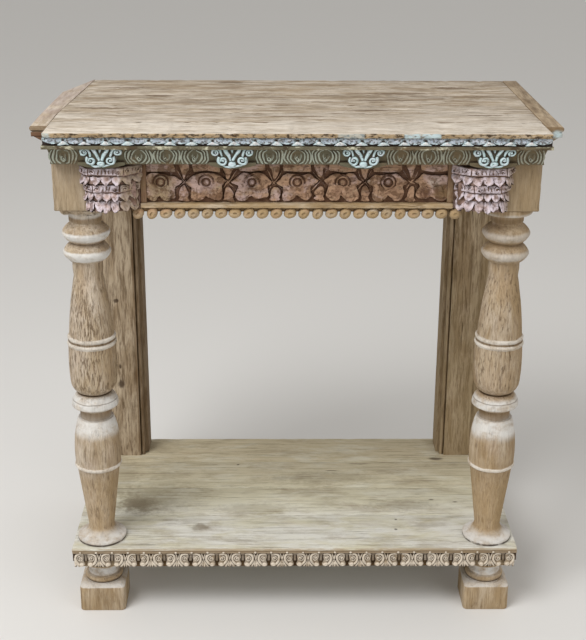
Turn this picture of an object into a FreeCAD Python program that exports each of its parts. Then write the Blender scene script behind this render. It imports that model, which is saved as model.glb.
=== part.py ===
import FreeCAD, Part
import math
import os

from FreeCAD import Vector

# A pier table of carved and turned old teak: boarded top over a lobed cornice,
# a rosette frieze with petal bosses, two turned front legs, two moulded rear
# posts, and a boarded shelf with a scalloped edging on four feet.
# Millimetres. X runs across the front, Y from front to back, Z up.
# The origin is on the floor under the middle of the top.

# Top
TOP_DEPTH = 464.0
TOP_BOARD_LENGTH = 770.0
TOP_BOARD_THICK = 20.0
TOP_FRONT_BOARD_WIDTH = 88.0
TOP_SECOND_BOARD_WIDTH = 71.0
TOP_THIRD_BOARD_WIDTH = 67.0
TOP_FOURTH_BOARD_WIDTH = 90.0
BOARD_GAP = 0.6
TOP_LIP_THICK = 7.0

# End boards of the top; the left one is worn to a wedge at the back
END_BOARD_WIDTH = 27.5
END_BOARD_THICK = 24.0
END_BOARD_SETBACK = 55.0
END_NOSE_THICK = 8.5
END_NOSE_ROUND = 4.0
END_GROOVE_DEPTH = 6.0
END_GROOVE_WIDTH = 1.6
END_FILLET_THICK = 6.5
END_FILLET_STEP = 2.0
END_BEAD_FOOT = 8.0
WORN_END_START = 339.0
WORN_END_TAPER = 7.5
WORN_END_TIP = 1.5
JOINT_DRIFT_START = 147.0
JOINT_DRIFT = 19.0

# Petal moulding let into the front edge of the top
PETAL_MOULDING_DEPTH = 17.0
PETAL_RELIEF = 4.0
PETAL_COUNT = 24

# Cornice plank
CORNICE_THICK = 31.0
CORNICE_FILLET = 5.0
CORNICE_SETBACK = 2.0
CORNICE_FILLET_STEP = 7.0
CORNICE_COVE_SLOPE = 8.0
CORNICE_COVE_HOLLOW = 2.0
CORNICE_END_REACH = 7.5
CORNICE_END_SLOPE = 3.0
CORNICE_LOBE_INSET = 39.0
CORNICE_LOBE_WIDTH = 72.0
CORNICE_LOBE_DROP = 5.5
CORNICE_LOBE_RISE = 4.0
CORNICE_LOBE_THICK = 15.0
CORNICE_BOSS_WIDTH = 56.0
CORNICE_LOBE_SETBACK = 10.0
CORNICE_LOBE_COUNT = 4

# Turned front legs with square head blocks
LEG_INSET = 47.5
LEG_TURNED_LENGTH = 600.0
HEAD_BLOCK_SIZE = 84.0
HEAD_BLOCK_HEIGHT = 80.0
HEAD_BLOCK_SETBACK = 37.5
LEG_BASE_RADIUS = 42.0
LEG_BASE_RIM = 7.0
LEG_FLARE_HOLLOW = 4.8
LEG_ANKLE_RADIUS = 22.0
LEG_ANKLE_HEIGHT = 26.0
LEG_CALF_RADIUS = 36.0
LEG_RING_HEIGHT = 139.5
LEG_RING_WIDTH = 8.0
LEG_RING_PROUD = 3.0
LEG_BELLY_RADIUS = 38.0
LEG_BELLY_SWELL = 0.9
LEG_SHOULDER_HEIGHT = 190.0
LEG_SHOULDER_RISE = 41.0
LEG_SHOULDER_RADIUS = 30.0
LEG_SHOULDER_SWELL = 1.6
LEG_GROOVE_RADIUS = 26.0
LEG_GROOVE_WIDTH = 15.0
LEG_WAIST_RADIUS = 39.0
LEG_WAIST_SWELL = 2.6
LEG_WAIST_UNDER = 8.0
LEG_WAIST_EDGE = 3.0
LEG_WAIST_OVER = 20.0
LEG_WAIST_TOP_RADIUS = 28.0
LEG_CUP_RADIUS = 23.5
LEG_CUP_RISE = 22.0
LEG_CUP_SWELL = 4.0
LEG_BARREL_RADIUS = 38.8
LEG_BARREL_SWELL = 1.0
LEG_BARREL_LENGTH = 64.5
LEG_DOUBLE_RING_WIDTH = 6.0
LEG_DOUBLE_RING_GAP = 5.0
LEG_DOUBLE_RING_PROUD = 2.0
LEG_TAPER_RADIUS = 36.9
LEG_TAPER_SWELL = 1.8
LEG_THROAT_RADIUS = 23.5
LEG_COLLAR_RADIUS = 24.7
LEG_COLLAR_WIDTH = 24.0
LEG_SAUCER_RADIUS = 38.5
LEG_SAUCER_UNDER = 14.8
LEG_SAUCER_OVER = 14.5
LEG_SAUCER_EDGE = 3.0
LEG_SAUCER_SWELL = 1.8
LEG_SAUCER_CROWN = 1.6
LEG_DRUM_WIDTH = 3.4
LEG_FILLET_RADIUS = 26.5
LEG_FILLET_WIDTH = 13.0
LEG_ABACUS_RADIUS = 40.0
LEG_ABACUS_THICK = 12.0
LEG_ABACUS_ROUND = 4.0
LEG_ABACUS_SWELL = 1.1

# Frieze between the head blocks
FRONT_RAIL_THICK = 28.0
FRONT_RAIL_SETBACK = 67.0
FRIEZE_RISE = 3.0
FRIEZE_PANEL_THICK = 11.0
FRIEZE_STILE_WIDTH = 10.0
FRIEZE_STILE_THICK = 19.0
FRIEZE_RAIL_HEIGHT = 8.0
FRIEZE_RAIL_THICK = 22.0
ROSETTE_PITCH = 71.0
ROSETTE_SIZE = 58.0
ROSETTE_NOTCH = 13.0
ROSETTE_MARGIN = 1.0
ROSETTE_RELIEF = 4.0
ROSETTE_EYE = 18.0
ROSETTE_EYE_RELIEF = 2.0
BEAD_PITCH = 21.8
BEAD_DIAMETER = 18.0
BEAD_OVERRUN = 14.5
BEAD_STRIP_HEIGHT = 7.0
BEAD_STRIP_THICK = 8.0

# Petal bosses on the head blocks
BOSS_OFFSET = 49.5
BOSS_ROOT_REACH = 43.0
BOSS_TOP_HALF = 48.0
BOSS_BOTTOM_HALF = 38.0
BOSS_TOP_FRONT_HALF = 28.0
BOSS_BOTTOM_FRONT_HALF = 17.0
BOSS_TOP_PROJECTION = 19.0
BOSS_BOTTOM_PROJECTION = 11.0
BOSS_PLAQUE_HEIGHT = 14.5
BOSS_PETAL_ROW_HEIGHT = 13.0
BOSS_SKIRT_HEIGHT = 17.0
BOSS_PLAQUE_RELIEF = 2.0
BOSS_PLAQUE_MARGIN = 1.0
BOSS_PETAL_RELIEF = 4.0
BOSS_PETAL_ROOT = 1.0
BOSS_PETAL_STRAIGHT = 0.5
BOSS_PETAL_FILL = 0.88
BOSS_FACE_PETALS = (2, 4, 3)

# Rails and battens under the top
SIDE_RAIL_THICK = 30.0
SIDE_RAIL_HEIGHT = 98.0
BACK_RAIL_THICK = 28.0
BACK_RAIL_HEIGHT = 98.0
TENON_LENGTH = 25.0
TENON_THICK = 15.0
TENON_SHOULDER = 14.0
TENON_CLEARANCE = 0.2
BATTEN_WIDTH = 45.0
BATTEN_THICK = 22.0
BATTEN_INSET = 177.5

# Moulded rear posts
POST_FACE_WIDTH = 50.0
POST_OUTER_WING = 29.0
POST_INNER_WING = 14.0
POST_WING_STEP = 8.0
POST_BEAD_RADIUS = 4.0
POST_DEPTH = 65.0
POST_BACK_INSET = 10.0

# Shelf
SHELF_INSET = 0.5
SHELF_SETBACK = 31.0
SHELF_THICK = 22.0
SHELF_LIP_THICK = 6.0
SHELF_FRONT_BOARD_WIDTH = 118.0
SHELF_SECOND_BOARD_WIDTH = 104.0
SHELF_BACK_BOARD_WIDTH = 103.0
EDGING_HEIGHT = 36.0
EDGING_THICK = 14.0
EDGING_UNIT_WIDTH = 45.0
EDGING_LOBE_DROP = 7.5
EDGING_DROP_DEPTH = 4.5
EDGING_DROP_SHARE = 0.22
BEARER_WIDTH = 80.0
BEARER_THICK = 20.0
SHELF_RAIL_THICK = 22.0

# Feet
FOOT_SIZE = 79.0
FOOT_HEIGHT = 87.0
FOOT_BLOCK_HEIGHT = 46.0
FOOT_SLOPE = 5.0
FOOT_TORUS_RADIUS = 33.0
FOOT_TORUS_WIDTH = 11.0
FOOT_FILLET_RADIUS = 27.0
FOOT_FILLET_WIDTH = 3.0
FOOT_COVE_WIDTH = 16.0
FOOT_COVE_HOLLOW = 5.0
FOOT_COVE_LIP_RADIUS = 30.0
FOOT_CROWN_RADIUS = 38.0
FOOT_CROWN_RIM = 2.5
FOOT_CORNER_CHAMFER = 4.0

# Dowels that pin legs and posts to shelf, bearer and foot
DOWEL_RADIUS = 10.0
DOWEL_DEPTH = 35.0
DOWEL_CLEARANCE = 0.2

# Levels and planes worked out from the sizes above
FRONT = -TOP_DEPTH / 2
BACK = TOP_DEPTH / 2
BOARD_HALF = TOP_BOARD_LENGTH / 2
BEARER_TOP = FOOT_HEIGHT + BEARER_THICK
SHELF_TOP = BEARER_TOP + SHELF_THICK
BLOCK_BOTTOM = SHELF_TOP + LEG_TURNED_LENGTH
BLOCK_TOP = BLOCK_BOTTOM + HEAD_BLOCK_HEIGHT
TOP_UNDERSIDE = BLOCK_TOP + CORNICE_THICK
TOP_SURFACE = TOP_UNDERSIDE + TOP_BOARD_THICK
LIP_UNDERSIDE = TOP_SURFACE - TOP_LIP_THICK
END_BOARD_FRONT = FRONT + END_BOARD_SETBACK
CORNICE_FRONT = FRONT + CORNICE_SETBACK

LEG_X = BOARD_HALF - LEG_INSET
BLOCK_HALF = HEAD_BLOCK_SIZE / 2
BLOCK_FRONT = FRONT + HEAD_BLOCK_SETBACK
LEG_Y = BLOCK_FRONT + BLOCK_HALF
BLOCK_BACK = LEG_Y + BLOCK_HALF
BLOCK_INNER = LEG_X - BLOCK_HALF
BLOCK_OUTER = LEG_X + BLOCK_HALF

RAIL_FACE = FRONT + FRONT_RAIL_SETBACK
RAIL_BACK = RAIL_FACE + FRONT_RAIL_THICK
FRIEZE_BOTTOM = BLOCK_BOTTOM + FRIEZE_RISE
BOSS_X = LEG_X - BOSS_OFFSET
STILE_OUTER = BOSS_X - BOSS_ROOT_REACH
STILE_INNER = STILE_OUTER - FRIEZE_STILE_WIDTH
STILE_FRONT = RAIL_FACE - FRIEZE_STILE_THICK
PANEL_BOTTOM = FRIEZE_BOTTOM + FRIEZE_RAIL_HEIGHT
PANEL_FRONT = RAIL_FACE - FRIEZE_PANEL_THICK

POST_BACK = BACK - POST_BACK_INSET
POST_FRONT = POST_BACK - POST_DEPTH
POST_OUTER = BLOCK_OUTER
POST_FACE_OUTER = POST_OUTER - POST_OUTER_WING
POST_FACE_INNER = POST_FACE_OUTER - POST_FACE_WIDTH
POST_INNER = POST_FACE_INNER - POST_INNER_WING
POST_X = POST_FACE_OUTER - POST_FACE_WIDTH / 2
POST_Y = POST_FRONT + POST_DEPTH / 2

SHELF_HALF = BOARD_HALF - SHELF_INSET
SHELF_FRONT = FRONT + SHELF_SETBACK
EDGING_BACK = SHELF_FRONT + EDGING_THICK
EDGING_TOP = SHELF_TOP - SHELF_LIP_THICK
EDGING_BOTTOM = EDGING_TOP - EDGING_HEIGHT

X_AXIS = Vector(1, 0, 0)
Z_AXIS = Vector(0, 0, 1)


def block(x_range, y_range, z_range):
    """A plain rectangular solid between three pairs of limits."""
    size = [high - low for low, high in (x_range, y_range, z_range)]
    return Part.makeBox(*size, Vector(x_range[0], y_range[0], z_range[0]))


def mirrored(shape):
    """The same piece on the other side of the table's middle."""
    return shape.mirror(Vector(0, 0, 0), X_AXIS)


def outline(start, steps):
    """A closed wire from points; a step of two points is an arc through the first."""
    edges = []
    here = start
    for step in steps:
        if isinstance(step, tuple):
            edges.append(Part.Arc(here, step[0], step[1]).toShape())
            here = step[1]
        else:
            edges.append(Part.LineSegment(here, step).toShape())
            here = step
    if here.distanceToPoint(start) > 1e-6:
        edges.append(Part.LineSegment(here, start).toShape())
    return Part.Wire(edges)


def prism(wire, direction):
    return Part.Face(wire).extrude(direction)


def plan_prism(points, low, high):
    """An upright solid over a polygon of (x, y) points."""
    corners = [Vector(x, y, low) for x, y in points]
    return prism(outline(corners[0], corners[1:]), Vector(0, 0, high - low))


def swelled(start, end, swell):
    """An arc step between two (radius, height) points; rising, it swells outward."""
    across = end[0] - start[0]
    up = end[1] - start[1]
    share = swell / math.hypot(across, up)
    middle = ((start[0] + end[0]) / 2 + up * share, (start[1] + end[1]) / 2 - across * share)
    return middle, end


def placed(steps, at):
    """The same steps with every pair of numbers turned into a point by at."""
    moved = []
    for step in steps:
        moved.append((at(*step[0]), at(*step[1])) if isinstance(step[0], tuple) else at(*step))
    return moved


def turned(start, steps, x, y, z):
    """A solid of revolution from (radius, height) points standing at x, y, z."""
    def at(radius, height):
        return Vector(radius, 0, height)

    face = Part.Face(outline(at(*start), placed(steps, at)))
    solid = face.revolve(Vector(0, 0, 0), Z_AXIS, 360)
    solid.translate(Vector(x, y, z))
    return solid


def fused(shapes):
    """One clean solid from overlapping shapes."""
    return shapes[0].fuse(shapes[1:]).removeSplitter()


def save(name, shape):
    shape.exportStep(os.path.join("parts", name + ".step"))


def save_pair(name, right):
    """Write a piece and its mirror image as a right and a left node."""
    save(name + "_right", right)
    save(name + "_left", mirrored(right))


# Top boards and end boards

def left_joint(y):
    """Where the boards end on the left: the joint drifts inward towards the back."""
    start = FRONT + JOINT_DRIFT_START
    share = max(0.0, (y - start) / (BACK - start))
    return -BOARD_HALF + JOINT_DRIFT * share


def left_joint_points(low, high):
    """The left joint line from high y to low y, with its bend where it has one."""
    bend = FRONT + JOINT_DRIFT_START
    stops = [high] + ([bend] if low < bend < high else []) + [low]
    return [(left_joint(y), y) for y in stops]


def top_board(low, high):
    right = [(BOARD_HALF, low), (BOARD_HALF, high)]
    return plan_prism(right + left_joint_points(low, high), TOP_UNDERSIDE, TOP_SURFACE)


def board_spans(widths, start):
    """Each board's name and limits in y, with a joint gap behind all but the last."""
    spans = []
    low = start
    for name, width in widths.items():
        spans.append((name, low, low + width - BOARD_GAP))
        low += width
    name, low, high = spans[-1]
    spans[-1] = (name, low, high + BOARD_GAP)
    return spans


def make_top_boards():
    widths = {
        "top_board_front": TOP_FRONT_BOARD_WIDTH,
        "top_board_second": TOP_SECOND_BOARD_WIDTH,
        "top_board_third": TOP_THIRD_BOARD_WIDTH,
        "top_board_fourth": TOP_FOURTH_BOARD_WIDTH,
    }
    widths["top_board_back"] = TOP_DEPTH - sum(widths.values())
    rebate_y = (FRONT, FRONT + PETAL_MOULDING_DEPTH)
    rebate = block((-BOARD_HALF, BOARD_HALF), rebate_y, (TOP_UNDERSIDE, LIP_UNDERSIDE))
    for name, low, high in board_spans(widths, FRONT):
        save(name, top_board(low, high).cut(rebate))


def end_moulding(length):
    """The stepped end section, from the joint outward, run along the table's depth."""
    def at(out, down):
        return Vector(BOARD_HALF + out, END_BOARD_FRONT, TOP_SURFACE - down)

    nose_in = END_BOARD_WIDTH - END_NOSE_ROUND
    groove_in = END_BOARD_WIDTH - END_GROOVE_DEPTH
    fillet_out = END_BOARD_WIDTH - END_FILLET_STEP
    fillet_top = END_NOSE_THICK + END_GROOVE_WIDTH
    fillet_foot = fillet_top + END_FILLET_THICK
    section = outline(at(0, 0), [
        at(nose_in, 0),
        (at(END_BOARD_WIDTH, END_NOSE_THICK / 2), at(nose_in, END_NOSE_THICK)),
        at(groove_in, END_NOSE_THICK),
        at(groove_in, fillet_top),
        at(fillet_out, fillet_top),
        at(fillet_out, fillet_foot),
        at(groove_in, fillet_foot),
        at(END_BEAD_FOOT, END_BOARD_THICK),
        at(0, END_BOARD_THICK),
    ])
    return prism(section, Vector(0, length, 0))


def make_end_boards():
    length = TOP_DEPTH - END_BOARD_SETBACK
    right = end_moulding(length)
    save("top_end_right", right)
    # The left end board follows the drifting joint and is worn off to a point
    front = END_BOARD_FRONT
    z_range = (TOP_SURFACE - END_BOARD_THICK, TOP_SURFACE)
    inner_x = (-BOARD_HALF, -BOARD_HALF + JOINT_DRIFT)
    inner = block(inner_x, (front, BACK), (TOP_UNDERSIDE, TOP_SURFACE))
    outer = -BOARD_HALF - END_BOARD_WIDTH
    plan = [
        (outer, front),
        (outer + WORN_END_TAPER, FRONT + WORN_END_START),
        (left_joint(BACK) - WORN_END_TIP, BACK),
    ] + left_joint_points(front, BACK)
    wedge = plan_prism(plan, *z_range)
    save("top_end_left", fused([mirrored(right), inner]).common(wedge))


# Petal moulding and cornice

def make_petal_moulding():
    face = FRONT + PETAL_RELIEF
    x_range = (-BOARD_HALF, BOARD_HALF)
    strip = block(x_range, (face, FRONT + PETAL_MOULDING_DEPTH), (TOP_UNDERSIDE, LIP_UNDERSIDE))
    pitch = TOP_BOARD_LENGTH / PETAL_COUNT
    petals = [petal_wedge(-BOARD_HALF + (index + 0.5) * pitch, pitch) for index in range(PETAL_COUNT)]
    save("petal_moulding", fused([strip] + petals))


def petal_wedge(x, pitch):
    """A leaf that swells from the strip towards its broad lower edge."""
    half = pitch / 2
    face = FRONT + PETAL_RELIEF
    left = Vector(x - half, face, TOP_UNDERSIDE)
    right = Vector(x + half, face, TOP_UNDERSIDE)
    rise = outline(left, [right, (Vector(x, face, LIP_UNDERSIDE), left)])
    tongue = prism(rise, Vector(0, -PETAL_RELIEF, 0))
    slope = outline(Vector(x - half, FRONT, LIP_UNDERSIDE), [
        Vector(x - half, FRONT, TOP_UNDERSIDE),
        Vector(x - half, face, LIP_UNDERSIDE),
    ])
    return tongue.cut(prism(slope, Vector(pitch, 0, 0)))


def cornice_edge(fillet, slope):
    """The moulded edge in (outward, height): bottom, cove and fillet from the bottom up."""
    cove_height = CORNICE_THICK - CORNICE_FILLET
    cove_top = fillet - CORNICE_FILLET_STEP
    bottom = cove_top - slope
    cove = swelled((bottom, 0), (cove_top, cove_height), -CORNICE_COVE_HOLLOW)
    return [(bottom, 0), cove, (fillet, cove_height)]


def cornice_run():
    """The moulded front with the same moulding returned round its two ends."""
    reach = BLOCK_OUTER + CORNICE_END_REACH

    def front_at(y_in, height):
        return Vector(-reach, -y_in, BLOCK_TOP + height)

    def end_at(out, height):
        return Vector(out, CORNICE_FRONT, BLOCK_TOP + height)

    front_edge = cornice_edge(-CORNICE_FRONT, CORNICE_COVE_SLOPE)
    behind = [(-CORNICE_FRONT, CORNICE_THICK), (-END_BOARD_FRONT, CORNICE_THICK)]
    section = outline(front_at(-END_BOARD_FRONT, 0), placed(front_edge + behind, front_at))
    front = prism(section, Vector(2 * reach, 0, 0))
    end_edge = placed(cornice_edge(reach, CORNICE_END_SLOPE), end_at)
    waste = prism(outline(end_at(reach, 0), end_edge), Vector(0, END_BOARD_FRONT - CORNICE_FRONT, 0))
    return front.cut([waste, mirrored(waste)])


def cornice_lobe(x):
    """A hanging lobe with the raised plaque of its carved boss."""
    def at(across, y, height):
        return Vector(x + across, y, BLOCK_TOP + height)

    half = CORNICE_LOBE_WIDTH / 2
    rise = CORNICE_LOBE_RISE
    y = CORNICE_FRONT + CORNICE_LOBE_SETBACK
    hang = [at(-half, y, 0), (at(0, y, -CORNICE_LOBE_DROP), at(half, y, 0)), at(half, y, rise)]
    lobe = prism(outline(at(-half, y, rise), hang), Vector(0, CORNICE_LOBE_THICK, 0))
    half = CORNICE_BOSS_WIDTH / 2
    y = CORNICE_FRONT + CORNICE_FILLET_STEP
    high = CORNICE_THICK - CORNICE_FILLET
    shield = outline(at(-half, y, high), [(at(0, y, 0), at(half, y, high))])
    return fused([lobe, prism(shield, Vector(0, CORNICE_LOBE_THICK, 0))])


def make_cornice():
    body_y = (END_BOARD_FRONT, BLOCK_BACK)
    body = block((-BLOCK_OUTER, BLOCK_OUTER), body_y, (BLOCK_TOP, TOP_UNDERSIDE))
    cornice = fused([cornice_run(), body])
    last = LEG_X - CORNICE_LOBE_INSET
    pitch = 2 * last / (CORNICE_LOBE_COUNT - 1)
    for index in range(CORNICE_LOBE_COUNT):
        cornice = fused([cornice, cornice_lobe(index * pitch - last)])
    save("cornice", cornice)


# Front legs

def lower_leg_steps():
    """Base flare, calf, ring, belly, shoulder and waist, from the shelf up."""
    ring_low = (LEG_CALF_RADIUS, LEG_RING_HEIGHT)
    ring_high = (LEG_BELLY_RADIUS, LEG_RING_HEIGHT + LEG_RING_WIDTH)
    belly_high = (LEG_BELLY_RADIUS, LEG_SHOULDER_HEIGHT)
    shoulder_top = LEG_SHOULDER_HEIGHT + LEG_SHOULDER_RISE
    waist_low = shoulder_top + LEG_GROOVE_WIDTH
    edge_low = (LEG_WAIST_RADIUS, waist_low + LEG_WAIST_UNDER)
    edge_high = (LEG_WAIST_RADIUS, edge_low[1] + LEG_WAIST_EDGE)
    cup_low = edge_high[1] + LEG_WAIST_OVER
    rim = (LEG_BASE_RADIUS, LEG_BASE_RIM)
    return [
        (LEG_BASE_RADIUS, 0),
        rim,
        swelled(rim, (LEG_ANKLE_RADIUS, LEG_ANKLE_HEIGHT), -LEG_FLARE_HOLLOW),
        ring_low,
        swelled(ring_low, ring_high, LEG_RING_PROUD),
        swelled(ring_high, belly_high, LEG_BELLY_SWELL),
        swelled(belly_high, (LEG_SHOULDER_RADIUS, shoulder_top), LEG_SHOULDER_SWELL),
        (LEG_GROOVE_RADIUS, shoulder_top),
        (LEG_GROOVE_RADIUS, waist_low),
        edge_low,
        edge_high,
        swelled(edge_high, (LEG_WAIST_TOP_RADIUS, cup_low), LEG_WAIST_SWELL),
        (LEG_CUP_RADIUS, cup_low),
    ]


def barrel_steps(cup):
    """Cup-bottomed barrel and its double ring, from the foot of the cup up."""
    low = (LEG_BARREL_RADIUS, cup[1] + LEG_CUP_RISE)
    high = (LEG_BARREL_RADIUS, low[1] + LEG_BARREL_LENGTH)
    first_top = (LEG_BARREL_RADIUS, high[1] + LEG_DOUBLE_RING_WIDTH)
    second_low = (LEG_BARREL_RADIUS, first_top[1] + LEG_DOUBLE_RING_GAP)
    second_top = (LEG_TAPER_RADIUS, second_low[1] + LEG_DOUBLE_RING_WIDTH)
    return [
        swelled(cup, low, LEG_CUP_SWELL),
        swelled(low, high, LEG_BARREL_SWELL),
        swelled(high, first_top, LEG_DOUBLE_RING_PROUD),
        second_low,
        swelled(second_low, second_top, LEG_DOUBLE_RING_PROUD),
    ]


def saucer_steps(low):
    """A turned disc on the neck: rounded below and above, with a thin edge."""
    edge_low = (LEG_SAUCER_RADIUS, low + LEG_SAUCER_UNDER)
    edge_high = (LEG_SAUCER_RADIUS, edge_low[1] + LEG_SAUCER_EDGE)
    neck = (LEG_COLLAR_RADIUS, edge_high[1] + LEG_SAUCER_OVER)
    return [
        swelled((LEG_COLLAR_RADIUS, low), edge_low, LEG_SAUCER_SWELL),
        edge_high,
        swelled(edge_high, neck, LEG_SAUCER_CROWN),
    ]


def capital_steps(taper):
    """Long taper, collar, two saucers and abacus, set out down from the head block."""
    abacus_low = LEG_TURNED_LENGTH - LEG_ABACUS_THICK
    fillet_low = abacus_low - LEG_FILLET_WIDTH
    saucer = LEG_SAUCER_UNDER + LEG_SAUCER_EDGE + LEG_SAUCER_OVER
    upper_low = fillet_low - LEG_DRUM_WIDTH - saucer
    lower_low = upper_low - saucer
    collar_low = lower_low - LEG_COLLAR_WIDTH
    round_low = (LEG_ABACUS_RADIUS - LEG_ABACUS_ROUND, abacus_low)
    round_high = (LEG_ABACUS_RADIUS, abacus_low + LEG_ABACUS_ROUND)
    collar = [
        swelled(taper, (LEG_THROAT_RADIUS, collar_low), LEG_TAPER_SWELL),
        (LEG_COLLAR_RADIUS, (collar_low + lower_low) / 2),
        (LEG_COLLAR_RADIUS, lower_low),
    ]
    abacus = [
        (LEG_COLLAR_RADIUS, fillet_low),
        (LEG_FILLET_RADIUS, fillet_low),
        (LEG_FILLET_RADIUS, abacus_low),
        round_low,
        swelled(round_low, round_high, LEG_ABACUS_SWELL),
        (LEG_ABACUS_RADIUS, LEG_TURNED_LENGTH),
        (0, LEG_TURNED_LENGTH),
    ]
    return collar + saucer_steps(lower_low) + saucer_steps(upper_low) + abacus


def dowel_hole(x, y, low, high):
    return Part.makeCylinder(DOWEL_RADIUS + DOWEL_CLEARANCE, high - low, Vector(x, y, low))


def make_front_legs():
    lower = lower_leg_steps()
    barrel = barrel_steps(lower[-1])
    steps = lower + barrel + capital_steps(barrel[-1][-1])
    leg = turned((0, 0), steps, LEG_X, LEG_Y, SHELF_TOP)
    head = block((BLOCK_INNER, BLOCK_OUTER), (BLOCK_FRONT, BLOCK_BACK), (BLOCK_BOTTOM, BLOCK_TOP))
    leg = leg.fuse(head)
    leg = leg.cut(dowel_hole(LEG_X, LEG_Y, SHELF_TOP, SHELF_TOP + DOWEL_DEPTH))
    leg = leg.cut(front_rail_tenon(TENON_CLEARANCE))
    save_pair("front_leg", leg.cut(side_rail_tenon(BLOCK_BACK, -1, TENON_CLEARANCE)))


# Rails with their tenons; a tenon grown by the clearance is also the mortise

def front_rail_tenon(room):
    middle = (RAIL_FACE + RAIL_BACK) / 2
    half = TENON_THICK / 2 + room
    z_range = (FRIEZE_BOTTOM + TENON_SHOULDER - room, BLOCK_TOP - TENON_SHOULDER + room)
    return block((BLOCK_INNER, BLOCK_INNER + TENON_LENGTH + room), (middle - half, middle + half), z_range)


def side_rail_tenon(face, direction, room):
    """Tenon of the right side rail at the given face, pointing forward or back."""
    middle = POST_FACE_OUTER - SIDE_RAIL_THICK / 2
    half = TENON_THICK / 2 + room
    tip = face + direction * (TENON_LENGTH + room)
    bottom = TOP_UNDERSIDE - SIDE_RAIL_HEIGHT + TENON_SHOULDER - room
    top = BLOCK_TOP - TENON_SHOULDER + room
    return block((middle - half, middle + half), (min(face, tip), max(face, tip)), (bottom, top))


def back_rail_y():
    middle = (POST_FRONT + 2 * POST_WING_STEP + POST_BACK) / 2
    return middle - BACK_RAIL_THICK / 2, middle + BACK_RAIL_THICK / 2


def back_rail_tenon(room):
    low, high = back_rail_y()
    middle = (low + high) / 2
    half = TENON_THICK / 2 + room
    x_range = (POST_INNER, POST_INNER + TENON_LENGTH + room)
    bottom = TOP_UNDERSIDE - BACK_RAIL_HEIGHT + TENON_SHOULDER - room
    top = TOP_UNDERSIDE - TENON_SHOULDER + room
    return block(x_range, (middle - half, middle + half), (bottom, top))


def make_rails():
    front = block((-BLOCK_INNER, BLOCK_INNER), (RAIL_FACE, RAIL_BACK), (FRIEZE_BOTTOM, BLOCK_TOP))
    tenon = front_rail_tenon(0)
    save("front_rail", fused([front, tenon, mirrored(tenon)]))
    back_z = (TOP_UNDERSIDE - BACK_RAIL_HEIGHT, TOP_UNDERSIDE)
    back = block((-POST_INNER, POST_INNER), back_rail_y(), back_z)
    tenon = back_rail_tenon(0)
    save("back_rail", fused([back, tenon, mirrored(tenon)]))
    side_x = (POST_FACE_OUTER - SIDE_RAIL_THICK, POST_FACE_OUTER)
    side_z = (TOP_UNDERSIDE - SIDE_RAIL_HEIGHT, TOP_UNDERSIDE)
    side = block(side_x, (BLOCK_BACK, POST_FRONT), side_z)
    save_pair("side_rail", fused([
        side, side_rail_tenon(BLOCK_BACK, -1, 0), side_rail_tenon(POST_FRONT, 1, 0)]))
    middle = LEG_X - BATTEN_INSET
    batten_x = (middle - BATTEN_WIDTH / 2, middle + BATTEN_WIDTH / 2)
    batten_z = (TOP_UNDERSIDE - BATTEN_THICK, TOP_UNDERSIDE)
    save_pair("top_batten", block(batten_x, (BLOCK_BACK, back_rail_y()[0]), batten_z))


# Frieze

def rosette(x):
    """A four-petalled flower with a round eye, raised from the panel."""
    middle = (PANEL_BOTTOM + BLOCK_TOP) / 2
    size = ROSETTE_SIZE / 2
    height = (BLOCK_TOP - PANEL_BOTTOM) / 2 - ROSETTE_MARGIN
    notch = ROSETTE_NOTCH

    def at(across, up):
        return Vector(x + across, PANEL_FRONT, middle + up)

    petals = outline(at(notch, notch), [
        (at(0, height), at(-notch, notch)),
        (at(-size, 0), at(-notch, -notch)),
        (at(0, -height), at(notch, -notch)),
        (at(size, 0), at(notch, notch)),
    ])
    flower = prism(petals, Vector(0, -ROSETTE_RELIEF, 0))
    eye_depth = ROSETTE_RELIEF + ROSETTE_EYE_RELIEF
    eye = Part.makeCylinder(ROSETTE_EYE / 2, eye_depth, at(0, 0), Vector(0, -1, 0))
    return fused([flower, eye])


def make_frieze():
    panel_x = (-STILE_INNER, STILE_INNER)
    panel_z = (PANEL_BOTTOM, BLOCK_TOP)
    ground = block(panel_x, (PANEL_FRONT, RAIL_FACE), panel_z)
    each_side = math.floor((STILE_INNER + ROSETTE_SIZE / 4) / ROSETTE_PITCH)
    flowers = [rosette(index * ROSETTE_PITCH) for index in range(-each_side, each_side + 1)]
    limit = block(panel_x, (PANEL_FRONT - ROSETTE_SIZE, RAIL_FACE), panel_z)
    save("frieze_panel", fused([ground] + flowers).common(limit))
    stile_x = (STILE_INNER, STILE_OUTER)
    save_pair("frieze_stile", block(stile_x, (STILE_FRONT, RAIL_FACE), (PANEL_BOTTOM, BLOCK_TOP)))
    rail_y = (RAIL_FACE - FRIEZE_RAIL_THICK, RAIL_FACE)
    rail_x = (-STILE_OUTER, STILE_OUTER)
    save("frieze_rail", block(rail_x, rail_y, (FRIEZE_BOTTOM, PANEL_BOTTOM)))


def make_bead_strip():
    radius = BEAD_DIAMETER / 2
    reach = STILE_OUTER + BEAD_OVERRUN
    strip_y = (RAIL_FACE - BEAD_STRIP_THICK, RAIL_FACE)
    strip = block((-reach, reach), strip_y, (FRIEZE_BOTTOM - BEAD_STRIP_HEIGHT, FRIEZE_BOTTOM))
    span = 2 * (reach - radius)
    gaps = round(span / BEAD_PITCH)
    beads = []
    for index in range(gaps + 1):
        centre = Vector(-reach + radius + index * span / gaps, RAIL_FACE - radius, FRIEZE_BOTTOM - radius)
        beads.append(Part.makeSphere(radius, centre))
    save("bead_strip", fused([strip] + beads))


# Petal bosses

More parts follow.
